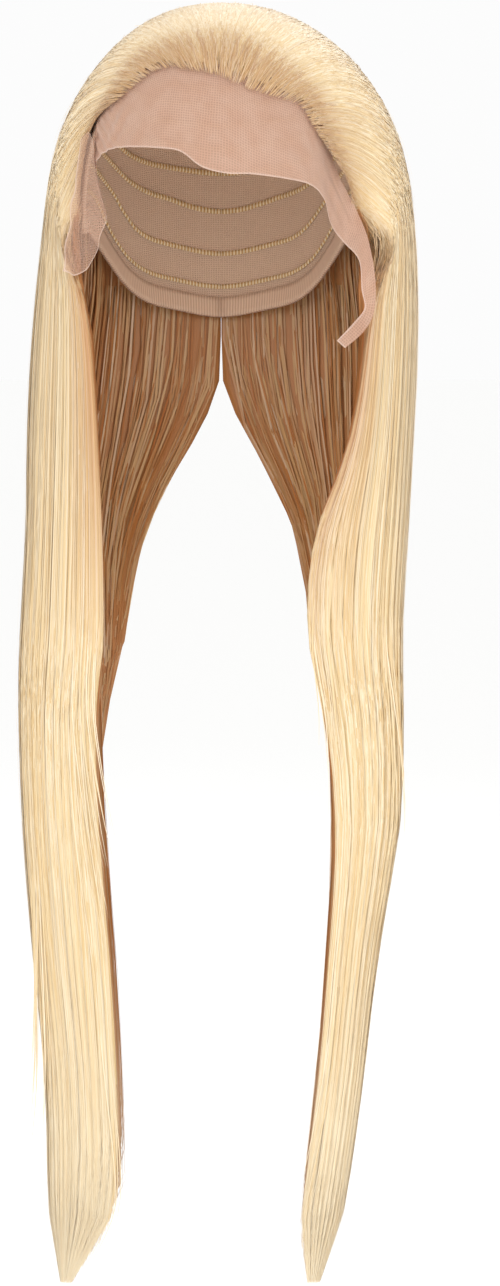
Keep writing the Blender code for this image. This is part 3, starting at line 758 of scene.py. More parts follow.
STRAND_INPUTS = (
    ("Strands", "NodeSocketInt", 1000),
    ("Segments", "NodeSocketInt", 20),
    ("Width", "NodeSocketFloat", 0.0008),
    ("Shallow", "NodeSocketFloat", 0.0),
    ("Deep", "NodeSocketFloat", 0.3),
    ("Start", "NodeSocketFloat", 0.05),
    ("Start Ease", "NodeSocketFloat", 1.6),
    ("End", "NodeSocketFloat", 1.0),
    ("Shortest", "NodeSocketFloat", 0.15),
    ("Lift", "NodeSocketFloat", 0.001),
    ("Frizz", "NodeSocketFloat", 1.0),
    ("Locks", "NodeSocketInt", 12),
    ("Lock Pull", "NodeSocketFloat", 0.4),
    ("Wander", "NodeSocketFloat", 0.03),
    ("Brown", "NodeSocketFloat", 0.0),
    ("Edge Brown", "NodeSocketFloat", 0.0),
    ("Seed", "NodeSocketInt", 1),
    ("Material", "NodeSocketMaterial", None),
)
STRAND_EASE = 1.5  # above 1 the segments stand closer together near the roots
STRAND_TWIST = 0.22  # radians either way
LOCK_FURROW = 0.022  # how much deeper strands lie at a lock's edge, as a share of the thickness
SEED_STEP = 10.0  # between the seeds of a strand's chances
LOCK_SEED = 77.0  # from a strand's seed to its lock's
SHORT_EASE = 1.9  # above 1 fewer strands stop early
GATHER = (0.05, 0.7)  # shares of the length between which locks draw together
STRAY_ACROSS = 9.0  # how often neighbours stray together, across and along a piece
STRAY_ALONG = 3.0
OWN_STEP = 1.618  # between the chances by which each strand strays on its own, and how often along it
OWN_ALONG = 4.0
MAP_ENDS = (0.001, 0.999)  # where strands are kept on the surface's map, just inside its edges
LOCK_MIDDLE = (0.25, 0.75)  # where a lock's core lies between its edges
DEPTH_EASE = 2.0  # above 1 more strands lie near the surface
LIFT_EASE = 4.0  # above 1 fewer strands lift off
DEEPEST = 1.02  # share of the thickness that no strand passes
ROOT_WIDTH = 0.35  # share of the width at the root, and of the length where it is full
ROOT_WAY = 0.12
TIP_LOSS = 0.9  # share of the width lost at the tip, and how late
TIP_POWER = 3.0
PAINTED_SHADE_SPREAD = (0.5, 1.2)  # least and greatest painted shade of strands, as shares of their layer's
BREADTHS = (0.55, 1.15)  # least and greatest width of strands, as shares of their layer's
TONE_SPREAD = 0.01  # how far a strand's tone differs from one side to the other
EDGE_SHARE = 0.62  # share across a piece from which its front edge is painted in shade
EDGE_WAY = (0.02, 0.12, 0.25, 0.50)  # shares of the length where that sets in, is full, fades and ends


def new_tree(name, inputs):
    """Node tree with its named inputs, as (name, kind, default), and what those inputs give."""
    tree = bpy.data.node_groups.new(name, "GeometryNodeTree")
    sockets = tree.interface
    sockets.new_socket("Geometry", in_out="INPUT", socket_type="NodeSocketGeometry")
    for label, kind, default in inputs:
        socket = sockets.new_socket(label, in_out="INPUT", socket_type=kind)
        if default is not None:
            socket.default_value = default
    sockets.new_socket("Geometry", in_out="OUTPUT", socket_type="NodeSocketGeometry")
    return tree, add(tree, "NodeGroupInput").outputs


def numbered_strips(tree, count, strip, label):
    """As many strips as count says, the place in the strip, and each strip's number, stored under a label."""
    marked = add(
        tree,
        "GeometryNodeStoreNamedAttribute",
        {0: strip, 2: "rung", 3: add(tree, "GeometryNodeInputPosition")},
        data_type="FLOAT_VECTOR",
        domain="POINT",
    )
    starts = add(tree, "GeometryNodePoints", {0: count})
    copies = add(tree, "GeometryNodeInstanceOnPoints", {0: starts, 2: marked})
    numbered = add(
        tree,
        "GeometryNodeStoreNamedAttribute",
        {0: copies, 2: label, 3: add(tree, "GeometryNodeInputIndex")},
        data_type="INT",
        domain="INSTANCE",
    )
    strips = add(tree, "GeometryNodeRealizeInstances", {0: numbered})
    rung = add(tree, "GeometryNodeInputNamedAttribute", {0: "rung"}, data_type="FLOAT_VECTOR")
    number = add(tree, "GeometryNodeInputNamedAttribute", {0: label}, data_type="INT")
    return strips, add(tree, "ShaderNodeSeparateXYZ", {0: rung}).outputs, number


def read_surface(tree, geometry, spot, values):
    """Values of a surface at a spot on its UV map."""
    map_on = add(tree, "GeometryNodeInputNamedAttribute", {0: "UVMap"}, data_type="FLOAT_VECTOR")
    sockets = [{0: geometry, 1: value, 2: map_on, 3: spot} for value in values]
    return [add(tree, "GeometryNodeSampleUVSurface", each, data_type="FLOAT_VECTOR") for each in sockets]


def map_strips(tree, strips, across, along):
    """Give strips their UV map."""
    spot = add(tree, "ShaderNodeCombineXYZ", {0: across, 1: along})
    return add(
        tree,
        "GeometryNodeStoreNamedAttribute",
        {0: strips, 2: "UVMap", 3: spot},
        data_type="FLOAT2",
        domain="CORNER",
    )


def finish_tree(tree, geometry, material):
    """Smooth, realise and dress what a tree made, and put it out."""
    smooth = add(tree, "GeometryNodeSetShadeSmooth", {0: geometry})
    real = add(tree, "GeometryNodeRealizeInstances", {0: smooth})
    dressed = add(tree, "GeometryNodeSetMaterial", {0: real, 2: material})
    add(tree, "NodeGroupOutput", {0: dressed})
    return tree


def strand_tree():
    """Nodes that lay thin tapered strips along a surface, from its roots at v = 0 to its tips at v = 1."""
    tree, given = new_tree("hair strands", STRAND_INPUTS)

    # One strip for each strand
    rungs = add(tree, "ShaderNodeMath", {0: given["Segments"], 1: 1.0}, operation="ADD")
    strip = add(tree, "GeometryNodeMeshGrid", {0: 1.0, 1: 1.0, 2: 2, 3: rungs})
    strips, rung_at, strand = numbered_strips(tree, given["Strands"], strip, "strand")

    # Each strand's own chances
    chances = []
    for step in range(3):
        seed = add(tree, "ShaderNodeMath", {0: given["Seed"], 1: SEED_STEP * step}, operation="ADD")
        drawn = add(
            tree,
            "FunctionNodeRandomValue",
            {0: (0.0, 0.0, 0.0), 1: (1.0, 1.0, 1.0), "ID": strand, "Seed": seed},
            data_type="FLOAT_VECTOR",
        )
        chances.extend(add(tree, "ShaderNodeSeparateXYZ", {0: drawn}).outputs)
    share, dip, start, end, broad, turn, tone, raised = chances[:8]

    # Place along the strand
    along = add(tree, "ShaderNodeMath", {0: rung_at[1], 1: 0.5}, operation="ADD")
    slowed = add(tree, "ShaderNodeMath", {0: along, 1: STRAND_EASE}, operation="POWER")
    late = add(tree, "ShaderNodeMath", {0: start, 1: given["Start Ease"]}, operation="POWER")
    first = add(tree, "ShaderNodeMath", {0: late, 1: given["Start"]}, operation="MULTIPLY")
    early = add(tree, "ShaderNodeMath", {0: end, 1: SHORT_EASE}, operation="POWER")
    lost = add(tree, "ShaderNodeMath", {0: early, 1: given["Shortest"]}, operation="MULTIPLY")
    kept = add(tree, "ShaderNodeMath", {0: 1.0, 1: lost}, operation="SUBTRACT")
    last = add(tree, "ShaderNodeMath", {0: kept, 1: given["End"]}, operation="MULTIPLY")
    span = add(tree, "ShaderNodeMath", {0: last, 1: first}, operation="SUBTRACT")
    way = add(tree, "ShaderNodeMath", {0: slowed, 1: span, 2: first}, operation="MULTIPLY_ADD")

    # Locks draw their strands together on the way down
    counted = add(tree, "ShaderNodeMath", {0: share, 1: given["Locks"]}, operation="MULTIPLY")
    lock = add(tree, "ShaderNodeMath", {0: counted}, operation="FLOOR")
    lock_seed = add(tree, "ShaderNodeMath", {0: given["Seed"], 1: LOCK_SEED}, operation="ADD")
    lock_chance = add(
        tree,
        "FunctionNodeRandomValue",
        {0: (LOCK_MIDDLE[0], 0.0, 0.0), 1: (LOCK_MIDDLE[1], 1.0, 1.0), "ID": lock, "Seed": lock_seed},
        data_type="FLOAT_VECTOR",
    )
    lock_own = add(tree, "ShaderNodeSeparateXYZ", {0: lock_chance}).outputs
    core = add(tree, "ShaderNodeMath", {0: lock, 1: lock_own[0]}, operation="ADD")
    off_core = add(tree, "ShaderNodeMath", {0: core, 1: counted}, operation="SUBTRACT")
    gathered = add(tree, "ShaderNodeMapRange", {0: way, 1: GATHER[0], 2: GATHER[1], 3: 0.0, 4: 1.0})
    pull = add(tree, "ShaderNodeMath", {0: gathered, 1: given["Lock Pull"]}, operation="MULTIPLY")
    drawn_in = add(tree, "ShaderNodeMath", {0: off_core, 1: pull}, operation="MULTIPLY")
    shift = add(tree, "ShaderNodeMath", {0: drawn_in, 1: given["Locks"]}, operation="DIVIDE")

    # Strands stray sideways, neighbours together and each a little on its own
    strayings = []
    for number, steps, turns, detail in (
        (share, STRAY_ACROSS, STRAY_ALONG, 1.0),
        (strand, OWN_STEP, OWN_ALONG, 0.0),
    ):
        sideways = add(tree, "ShaderNodeMath", {0: number, 1: steps}, operation="MULTIPLY")
        downwards = add(tree, "ShaderNodeMath", {0: way, 1: turns}, operation="MULTIPLY")
        wave_at = add(tree, "ShaderNodeCombineXYZ", {0: sideways, 1: downwards, 2: given["Seed"]})
        wave = add(tree, "ShaderNodeTexNoise", {"Vector": wave_at, "Scale": 1.0, "Detail": detail})
        strayings.append(add(tree, "ShaderNodeMath", {0: wave, 1: 0.5}, operation="SUBTRACT"))
    common_mid, own_mid = strayings
    own_part = add(tree, "ShaderNodeMath", {0: own_mid, 1: given["Frizz"]}, operation="MULTIPLY")
    strayed = add(tree, "ShaderNodeMath", {0: own_part, 1: common_mid}, operation="ADD")
    freed = add(tree, "ShaderNodeMath", {0: gathered, 1: given["Wander"]}, operation="MULTIPLY")
    stray = add(tree, "ShaderNodeMath", {0: strayed, 1: freed}, operation="MULTIPLY")
    moved = add(tree, "ShaderNodeMath", {0: share, 1: shift}, operation="ADD")
    across_at = add(tree, "ShaderNodeMath", {0: moved, 1: stray}, operation="ADD")
    u, v = (add(tree, "ShaderNodeClamp", {0: at, 1: MAP_ENDS[0], 2: MAP_ENDS[1]}) for at in (across_at, way))
    spot = add(tree, "ShaderNodeCombineXYZ", {0: u, 1: v})

    # Read the flow surface there
    stored = [add(tree, "GeometryNodeInputPosition")]
    for label in ("inward", "across"):
        stored.append(add(tree, "GeometryNodeInputNamedAttribute", {0: label}, data_type="FLOAT_VECTOR"))
    surface, inward, across = read_surface(tree, given["Geometry"], spot, stored)

    # Depth under the surface: furrows between locks, and a lift above it for loose strands
    sunk = add(tree, "ShaderNodeMath", {0: dip, 1: DEPTH_EASE}, operation="POWER")
    reach = add(tree, "ShaderNodeMath", {0: given["Deep"], 1: given["Shallow"]}, operation="SUBTRACT")
    level = add(tree, "ShaderNodeMath", {0: sunk, 1: reach, 2: given["Shallow"]}, operation="MULTIPLY_ADD")
    furrow = add(tree, "ShaderNodeMath", {0: off_core, 1: 2.0}, operation="POWER")
    furrowed = add(tree, "ShaderNodeMath", {0: furrow, 1: 4.0 * LOCK_FURROW}, operation="MULTIPLY")
    sloped = add(tree, "ShaderNodeMath", {0: furrowed, 1: gathered, 2: level}, operation="MULTIPLY_ADD")
    deepest = add(tree, "ShaderNodeMath", {0: sloped, 1: DEEPEST}, operation="MINIMUM")
    under = add(tree, "ShaderNodeVectorMath", {0: inward, "Scale": deepest}, operation="SCALE")
    facing_in = add(tree, "ShaderNodeVectorMath", {0: inward}, operation="NORMALIZE")
    lift = add(tree, "ShaderNodeMath", {0: raised, 1: LIFT_EASE}, operation="POWER")
    arch = add(tree, "ShaderNodeMath", {0: along, 1: math.pi}, operation="MULTIPLY")
    arched = add(tree, "ShaderNodeMath", {0: arch}, operation="SINE")
    for factor in (arched, given["Lift"], -1.0):
        lift = add(tree, "ShaderNodeMath", {0: lift, 1: factor}, operation="MULTIPLY")
    over = add(tree, "ShaderNodeVectorMath", {0: facing_in, "Scale": lift}, operation="SCALE")
    middle = add(tree, "ShaderNodeVectorMath", {0: surface, 1: under}, operation="ADD")
    core_line = add(tree, "ShaderNodeVectorMath", {0: middle, 1: over}, operation="ADD")

    # Width: thin at the root, full soon after, and a fine tip
    broadness = add(tree, "ShaderNodeMapRange", {0: broad, 1: 0.0, 2: 1.0, 3: BREADTHS[0], 4: BREADTHS[1]})
    half = add(tree, "ShaderNodeMapRange", {0: along, 1: 0.0, 2: ROOT_WAY, 3: ROOT_WIDTH, 4: 1.0})
    fading = add(tree, "ShaderNodeMath", {0: along, 1: TIP_POWER}, operation="POWER")
    tipped = add(tree, "ShaderNodeMath", {0: fading, 1: -TIP_LOSS, 2: 1.0}, operation="MULTIPLY_ADD")
    for factor in (tipped, broadness, given["Width"], rung_at[0]):
        half = add(tree, "ShaderNodeMath", {0: half, 1: factor}, operation="MULTIPLY")
    run = add(tree, "ShaderNodeVectorMath", {0: across, 1: inward}, operation="CROSS_PRODUCT")
    angle = add(tree, "ShaderNodeMapRange", {0: turn, 1: 0.0, 2: 1.0, 3: -STRAND_TWIST, 4: STRAND_TWIST})
    flat = add(tree, "ShaderNodeVectorMath", {0: across}, operation="NORMALIZE")
    tilted = add(tree, "ShaderNodeVectorRotate", {0: flat, 2: run, 3: angle})
    beside = add(tree, "ShaderNodeVectorMath", {0: tilted, "Scale": half}, operation="SCALE")
    spot_on = add(tree, "ShaderNodeVectorMath", {0: core_line, 1: beside}, operation="ADD")
    laid = add(tree, "GeometryNodeSetPosition", {0: strips, 2: spot_on})

    # UV map: the strand's tone across, and the way from root to tip
    tone_at = add(tree, "ShaderNodeMath", {0: rung_at[0], 1: TONE_SPREAD, 2: tone}, operation="MULTIPLY_ADD")
    mapped = map_strips(tree, laid, tone_at, way)

    # Painted shade on each strand: its layer's share, and more near the front edge of a piece
    low, high = PAINTED_SHADE_SPREAD
    varied = add(tree, "ShaderNodeMapRange", {0: turn, 1: 0.0, 2: 1.0, 3: low, 4: high})
    by_edge = add(tree, "ShaderNodeMapRange", {0: share, 1: EDGE_SHARE, 2: 1.0, 3: 0.0, 4: 1.0})
    edge_part = add(tree, "ShaderNodeMapRange", {0: way, 1: EDGE_WAY[0], 2: EDGE_WAY[1], 3: 0.0, 4: 1.0})
    over_way = add(tree, "ShaderNodeMapRange", {0: way, 1: EDGE_WAY[2], 2: EDGE_WAY[3], 3: 1.0, 4: 0.0})
    for factor in (over_way, by_edge, given["Edge Brown"]):
        edge_part = add(tree, "ShaderNodeMath", {0: edge_part, 1: factor}, operation="MULTIPLY")
    painted_shade_sum = add(tree, "ShaderNodeMath", {0: given["Brown"], 1: edge_part}, operation="ADD")
    painted_shade_amount = add(tree, "ShaderNodeMath", {0: varied, 1: painted_shade_sum}, operation="MULTIPLY")
    toned = add(
        tree,
        "GeometryNodeStoreNamedAttribute",
        {0: mapped, 2: "brown", 3: painted_shade_amount},
        data_type="FLOAT",
        domain="POINT",
    )
    return finish_tree(tree, toned, given["Material"])


def run_tree(base, tree, values):
    """Plain mesh that a node tree makes from an object's mesh."""
    modifier = base.modifiers.new(tree.name, "NODES")
    modifier.node_group = tree
    for socket in tree.interface.items_tree:
        if socket.in_out == "INPUT" and socket.name in values:
            modifier[socket.identifier] = values[socket.name]
    evaluated = base.evaluated_get(bpy.context.evaluated_depsgraph_get())
    mesh = bpy.data.meshes.new_from_object(evaluated)
    base.modifiers.remove(modifier)
    return mesh


def joined(name, meshes):
    """One piece from several meshes, each with its own materials."""
    pieces = [place(name, mesh) for mesh in meshes]
    with bpy.context.temp_override(active_object=pieces[0], selected_editable_objects=pieces):
        bpy.ops.object.join()
    return pieces[0]


def finish_piece(piece, slot, *nodes):
    """Tie a piece to the body it rides and to the nodes that it replaces. Its slot is not used."""
    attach(piece, "root")
    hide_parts(*nodes)


BULK_OUTER = 0.07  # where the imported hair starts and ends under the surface, as shares of the thickness
BULK_INNER = 0.86
BULK_PAINTED_SHADE = 0.85  # painted shade on its inner side
BULK_ROWS = (5, -6)  # flow rows left to strands alone at the roots and the tips


def strand_values(layer, settings, locks, edge_brown, seed, material):
    """Inputs of the strand tree for one layer of hair."""
    return {
        "Strands": int(layer.strands * settings.density),
        "Segments": layer.segments,
        "Width": layer.width * settings.width,
        "Shallow": layer.shallow,
        "Deep": layer.deep,
        "Start": layer.start,
        "Start Ease": layer.ease,
        "End": layer.end,
        "Shortest": layer.shortest,
        "Lift": layer.lift,
        "Frizz": layer.frizz,
        "Locks": locks,
        "Lock Pull": settings.lock_pull,
        "Wander": settings.wander,
        "Brown": layer.brown,
        "Edge Brown": edge_brown,
        "Seed": seed,
        "Material": material,
    }


def flow_object(outer, inner):
    """Surface that strands follow, with a UV map from its roots to its tips."""
    spots = np.meshgrid(np.linspace(0.0, 1.0, FLOW_COLUMNS), way_along(outer))
    uv = np.stack(spots, axis=-1)
    flow = place("flow", grid_mesh("flow", [outer], uv))
    add_vectors(flow.data, "inward", inner - outer)
    add_vectors(flow.data, "across", np.gradient(outer, axis=1))
    return flow, uv


class WIG_OT_hair(bpy.types.Operator):
    """Lay the hair of both sides, in front and behind, as strands over a packed mass"""

    bl_idname = "wig.hair"
    bl_label = "Hair"

    def execute(self, context):
        settings = context.scene.wig_hair
        strands, packed = strand_material(settings), packed_hair_material(settings)
        tree = strand_tree()
        seed = 1
        for side in SIDES:
            for part in PARTS:
                outer, inner = flow_grids(side, part.low, part.high)
                outer, inner = tapered(outer, inner, 0 if part.name == "front" else -1)
                flow, uv = flow_object(outer, inner)
                rows = slice(*BULK_ROWS)
                walls = [outer + (inner - outer) * share for share in (BULK_OUTER, BULK_INNER)]
                bulk = grid_mesh("bulk", [wall[rows] for wall in walls], uv[rows], closed=True)
                # Painted shade: the inner wall of the mass is mixed toward the shade tone.
                add_numbers(bulk, "brown", np.repeat((0.0, BULK_PAINTED_SHADE), len(bulk.vertices) // 2))
                bulk.materials.append(packed)
                meshes = [bulk]
                for layer in HAIR_LAYERS:
                    seed += 1
                    values = strand_values(layer, settings, part.locks, part.edge_brown, seed, strands)
                    meshes.append(run_tree(flow, tree, values))
                bpy.data.objects.remove(flow)
                seed += 1
                front = fringe_grid(outer)
                back = np.concatenate([front[:1], inner[:FRINGE_ROWS]])
                flow, _ = flow_object(front, back)
                values = strand_values(FRINGE, settings, part.locks, 0.0, seed, strands)
                meshes.append(run_tree(flow, tree, values))
                bpy.data.objects.remove(flow)
                if part.name == "front":
                    for spots, spots_uv in zip(*wisp_strips(side, outer, uv[:, 0, 1])):
                        wisp = grid_mesh("wisp", [spots], spots_uv)
                        wisp.materials.append(strands)
                        meshes.append(wisp)
                node = f"hair_{side.name}_{part.name}"
                piece = joined(f"{node}_strands", meshes)
                finish_piece(piece, "hair", node)
        return {"FINISHED"}


CUT_EDGE = (0.0004, 0.0012)  # metres from the cut edge where its paler rim is full and where it ends
VEIL_THIN = 0.42  # how much sheerer the hanging flap is than the lace on the head


def lace_material(settings):
    """Sheer hexagonal lace tulle in a skin tint: small holes, drawn 1.4 mm wide so that they show."""
    material, tree = new_material("lace tulle")
    place_on = add(tree, "ShaderNodeUVMap", uv_map="UVMap")
    cells = add(
        tree,
        "ShaderNodeTexVoronoi",
        {"Vector": place_on, "Scale": 1.0 / settings.cell, "Randomness": 0.25},
        feature="DISTANCE_TO_EDGE",
        voronoi_dimensions="2D",
    )
    thread = add(tree, "ShaderNodeMapRange", {0: cells, 1: 0.08, 2: 0.24, 3: 1.0, 4: 0.0})
    cover = add(tree, "ShaderNodeMapRange", {0: thread, 1: 0.0, 2: 1.0, 3: settings.cover, 4: 0.94})
    spread = add(tree, "ShaderNodeTexNoise", {"Vector": place_on, "Scale": 90.0, "Detail": 3.0})
    mottled = add(tree, "ShaderNodeMapRange", {0: spread, 1: 0.35, 2: 0.68, 3: 0.0, 4: 0.55})
    edge = add(tree, "ShaderNodeAttribute", attribute_name="to_edge").outputs["Fac"]
    cut = add(tree, "ShaderNodeMapRange", {0: edge, 1: CUT_EDGE[0], 2: CUT_EDGE[1], 3: 0.8, 4: 0.0})
    colour = settings.tint
    for part, paint in ((mottled, linear("#CDAA96")), (cut, linear("#DEC2B2"))):
        colour = add(tree, "ShaderNodeMix", {0: part, 6: colour, 7: paint}, data_type="RGBA").outputs[2]
    veil = add(tree, "ShaderNodeAttribute", attribute_name="veil").outputs["Fac"]
    thinner = add(tree, "ShaderNodeMath", {0: veil, 1: -VEIL_THIN, 2: 1.0}, operation="MULTIPLY_ADD")
    sheer = add(tree, "ShaderNodeMath", {0: cover, 1: thinner}, operation="MULTIPLY")
    solid = add(tree, "ShaderNodeMath", {0: sheer, 1: cut}, operation="MAXIMUM")
    relief = add(tree, "ShaderNodeBump", {"Strength": 0.25, "Distance": 0.0002, "Height": thread})
    finish_material(
        tree,
        {
            "Base Color": colour,
            "Roughness": 0.55,
            "Specular IOR Level": 0.3,
            "Sheen Weight": 0.15,
            "Alpha": solid,
            "Normal": relief,
        },
    )
    return material


def lace_points():
    """Grid of points on the lace's inner side, columns along the hairline and rows down to the cut edge."""
    steps = np.linspace(0.0, len(LACE) - 1, (len(LACE) - 1) * LACE_STEPS + 1)
    values = {}
    for name in LaceRow._fields:
        keys = column(LACE, name)[:, None, None]
        values[name] = smooth_rows(keys, steps[:, None])[:, 0, 0]
    top_x, edge_x = (values[name] * HEAD_BREADTH / 2 for name in ("top_across", "edge_across"))
    top_z, edge_z = (-values[name] * CROWN_HEIGHT for name in ("top_down", "edge_down"))
    hold = np.clip(values["hold"], 0.0, 1.0)
    top_turn, top_tilt = head_angles(top_x, top_z)
    edge_turn, edge_tilt = head_angles(edge_x, edge_z)
    band = math.degrees(LACE_BAND / (HEAD_LENGTH / 2)) * hold**2
    depth = values["forward"] * HEAD_LENGTH / 2
    in_tail = np.clip((steps - RUFFLE_START) / RUFFLE_EASE, 0.0, 1.0)
    ruffle = LACE_RUFFLE * np.sin(steps * RUFFLE_TURN) * in_tail
    rows = []
    for part in np.linspace(0.0, 1.0, LACE_ROWS + 1):
        held = head_point(
            top_turn + (edge_turn - top_turn) * part,
            (top_tilt - band) + (edge_tilt - top_tilt + band) * part,
            LACE_SEAT + LACE_WALL / 2,
        )
        across = top_x + (edge_x - top_x) * part
        level = top_z + (edge_z - top_z) * part
        free = np.stack([across, depth + ruffle * (part - RUFFLE_HINGE), level], axis=-1)
        rows.append(free + (held - free) * hold[:, None])
    return np.array(rows), hold


def fold_lace(grid, hold):
    """Push soft folds into the lace, outwards from the head, below the band that the hair is tied through."""
    out = grid - HEAD_CENTRE
    out /= np.linalg.norm(out, axis=-1, keepdims=True)
    height = np.zeros(grid.shape[:2])
    for fold in FOLDS:
        across, level = grid[..., 0] - fold.across, grid[..., 2] - fold.level
        near = np.exp(-((across / fold.reach_across) ** 2) - (level / fold.reach_level) ** 2)
        height += fold.height * near * np.cos(2 * math.pi * (across + fold.lean * level) / fold.pitch)
    down = np.linspace(0.0, 1.0, len(grid))[:, None]
    flap = (1.0 - hold) * (grid[0, :, 0] < 0.0)
    ridge = np.cos(2 * math.pi * (grid[..., 0] + FLAP_LEAN * grid[..., 2]) / FLAP_FOLD[1])
    height += FLAP_FOLD[0] * flap * ridge * np.clip(down * FLAP_RISE, 0.0, 1.0)
    return grid + out * (height * np.clip((down - TIED_SHARE) * FOLD_RISE, 0.0, 1.0))[..., None]


def flat_map(grid):
    """UV map of a grid in metres, from the lengths along its middle row and down its columns."""
    middle = len(grid) // 2
    across = np.concatenate([[0.0], np.cumsum(np.linalg.norm(np.diff(grid[middle], axis=0), axis=-1))])
    down = np.cumsum(np.linalg.norm(np.diff(grid, axis=0), axis=-1), axis=0)
    down = np.concatenate([np.zeros((1, grid.shape[1])), down])
    return np.stack([np.broadcast_to(across, down.shape), down], axis=-1)


class WIG_OT_lace(bpy.types.Operator):
    """Hang the lace front over the forehead, with its temple flap and its tail"""

    bl_idname = "wig.lace"
    bl_label = "Lace front"

    def execute(self, context):
        points, hold = lace_points()
        grid = fold_lace(points, hold)
        mesh = grid_mesh("lace", [grid], flat_map(grid))
        to_edge = np.linalg.norm(grid[-1] - grid, axis=-1)
        to_edge = np.minimum(to_edge, np.linalg.norm(grid[:, -1:] - grid, axis=-1))
        to_edge = np.minimum(to_edge, np.linalg.norm(grid[:, :1] - grid, axis=-1))
        add_numbers(mesh, "to_edge", to_edge)
        add_numbers(mesh, "veil", np.broadcast_to((1.0 - hold) * (grid[0, :, 0] < 0.0), to_edge.shape))
        piece = place("lace_front_sheet", mesh, lace_material(context.scene.wig_lace))
        finish_piece(piece, "front_lace", "lace_front")
        return {"FINISHED"}


NET_CELL = 0.0012  # distance between the threads of the net as drawn


def net_material(settings):
    """Stretch net of the cap: a close knit in a skin tint, matt. Its threads are drawn apart to show."""
    material, tree = new_material("stretch cap net")
    place_on = add(tree, "ShaderNodeUVMap", uv_map="UVMap")
    cells = add(
        tree,
        "ShaderNodeTexVoronoi",
        {"Vector": place_on, "Scale": 1.0 / NET_CELL, "Randomness": 0.3},
        feature="DISTANCE_TO_EDGE",
        voronoi_dimensions="2D",
    )
    thread = add(tree, "ShaderNodeMapRange", {0: cells, 1: 0.05, 2: 0.3, 3: 0.0, 4: 1.0})
    tone = add(tree, "ShaderNodeMix", {0: thread, 6: settings.tint, 7: linear("#D0AE93")}, data_type="RGBA")
    relief = add(tree, "ShaderNodeBump", {"Strength": 0.5, "Distance": 0.0005, "Height": thread})
    finish_material(
        tree, {"Base Color": tone.outputs[2], "Roughness": 0.8, "Sheen Weight": 0.2, "Normal": relief}
    )
    return material


TRACK_THICKNESS = 0.0011  # how far a track stands off the cap at its middle
TRACK_SPAN = (0.12, 0.93)  # shares of the way down the cap between which the tracks lie
TRACK_SEGMENTS = 96
TRACK_RUNGS = 5  # points across a track
TRACK_ENDS = (0.0005, 0.9995)  # where tracks start and end on the cap's map, just inside its seam
BAND_SHARE = 0.955  # share of the way down the cap where its edge band starts
BAND_ROWS = 4
BAND_OUT = 0.0001  # how far the band stands off the cap outside and inside
BAND_IN = 0.0010
TRACK_INPUTS = (
    ("Tracks", "NodeSocketInt", 13),
    ("Height", "NodeSocketFloat", 0.003),
    ("Thickness", "NodeSocketFloat", 0.001),
    ("Material", "NodeSocketMaterial", None),
)


def track_tree():
    """Nodes that lay rounded bands round the inside of the cap: the sewn edges of the rows of hair."""
    tree, given = new_tree("cap tracks", TRACK_INPUTS)

    # One long strip for each track
    strip = add(tree, "GeometryNodeMeshGrid", {0: 1.0, 1: 1.0, 2: TRACK_SEGMENTS + 1, 3: TRACK_RUNGS})
    strips, rung_at, track = numbered_strips(tree, given["Tracks"], strip, "track")

    # Place round and down the cap
    most = add(tree, "ShaderNodeMath", {0: given["Tracks"], 1: 1.0}, operation="SUBTRACT")
    down = add(tree, "ShaderNodeMapRange", {0: track, 1: 0.0, 2: most, 3: TRACK_SPAN[0], 4: TRACK_SPAN[1]})
    around = add(tree, "ShaderNodeMath", {0: rung_at[0], 1: 0.5}, operation="ADD")
    u = add(tree, "ShaderNodeClamp", {0: around, 1: TRACK_ENDS[0], 2: TRACK_ENDS[1]})
    spot = add(tree, "ShaderNodeCombineXYZ", {0: u, 1: down})
    (surface,) = read_surface(tree, given["Geometry"], spot, [add(tree, "GeometryNodeInputPosition")])

    # Rounded profile that stands off the cap's inner side
    to_middle = add(tree, "ShaderNodeVectorMath", {0: HEAD_CENTRE, 1: surface}, operation="SUBTRACT")
    inward = add(tree, "ShaderNodeVectorMath", {0: to_middle}, operation="NORMALIZE")
    side_way = add(tree, "ShaderNodeVectorMath", {0: inward, 1: (0.0, 0.0, 1.0)}, operation="CROSS_PRODUCT")
    downward = add(tree, "ShaderNodeVectorMath", {0: inward, 1: side_way}, operation="CROSS_PRODUCT")
    downward = add(tree, "ShaderNodeVectorMath", {0: downward}, operation="NORMALIZE")
    fall = add(tree, "ShaderNodeMath", {0: rung_at[1], 1: given["Height"]}, operation="MULTIPLY")
    bowed = add(tree, "ShaderNodeMath", {0: rung_at[1], 1: math.pi}, operation="MULTIPLY")
    bow = add(tree, "ShaderNodeMath", {0: bowed}, operation="COSINE")
    raised = add(tree, "ShaderNodeMath", {0: bow, 1: given["Thickness"]}, operation="MULTIPLY")
    shifted = add(tree, "ShaderNodeVectorMath", {0: downward, "Scale": fall}, operation="SCALE")
    stood = add(tree, "ShaderNodeVectorMath", {0: inward, "Scale": raised}, operation="SCALE")
    moved = add(tree, "ShaderNodeVectorMath", {0: surface, 1: shifted}, operation="ADD")
    spot_on = add(tree, "ShaderNodeVectorMath", {0: moved, 1: stood}, operation="ADD")
    laid = add(tree, "GeometryNodeSetPosition", {0: strips, 2: spot_on})

    # UV map: the way round in turns, and the way across
    return finish_tree(tree, map_strips(tree, laid, around, rung_at[1]), given["Material"])


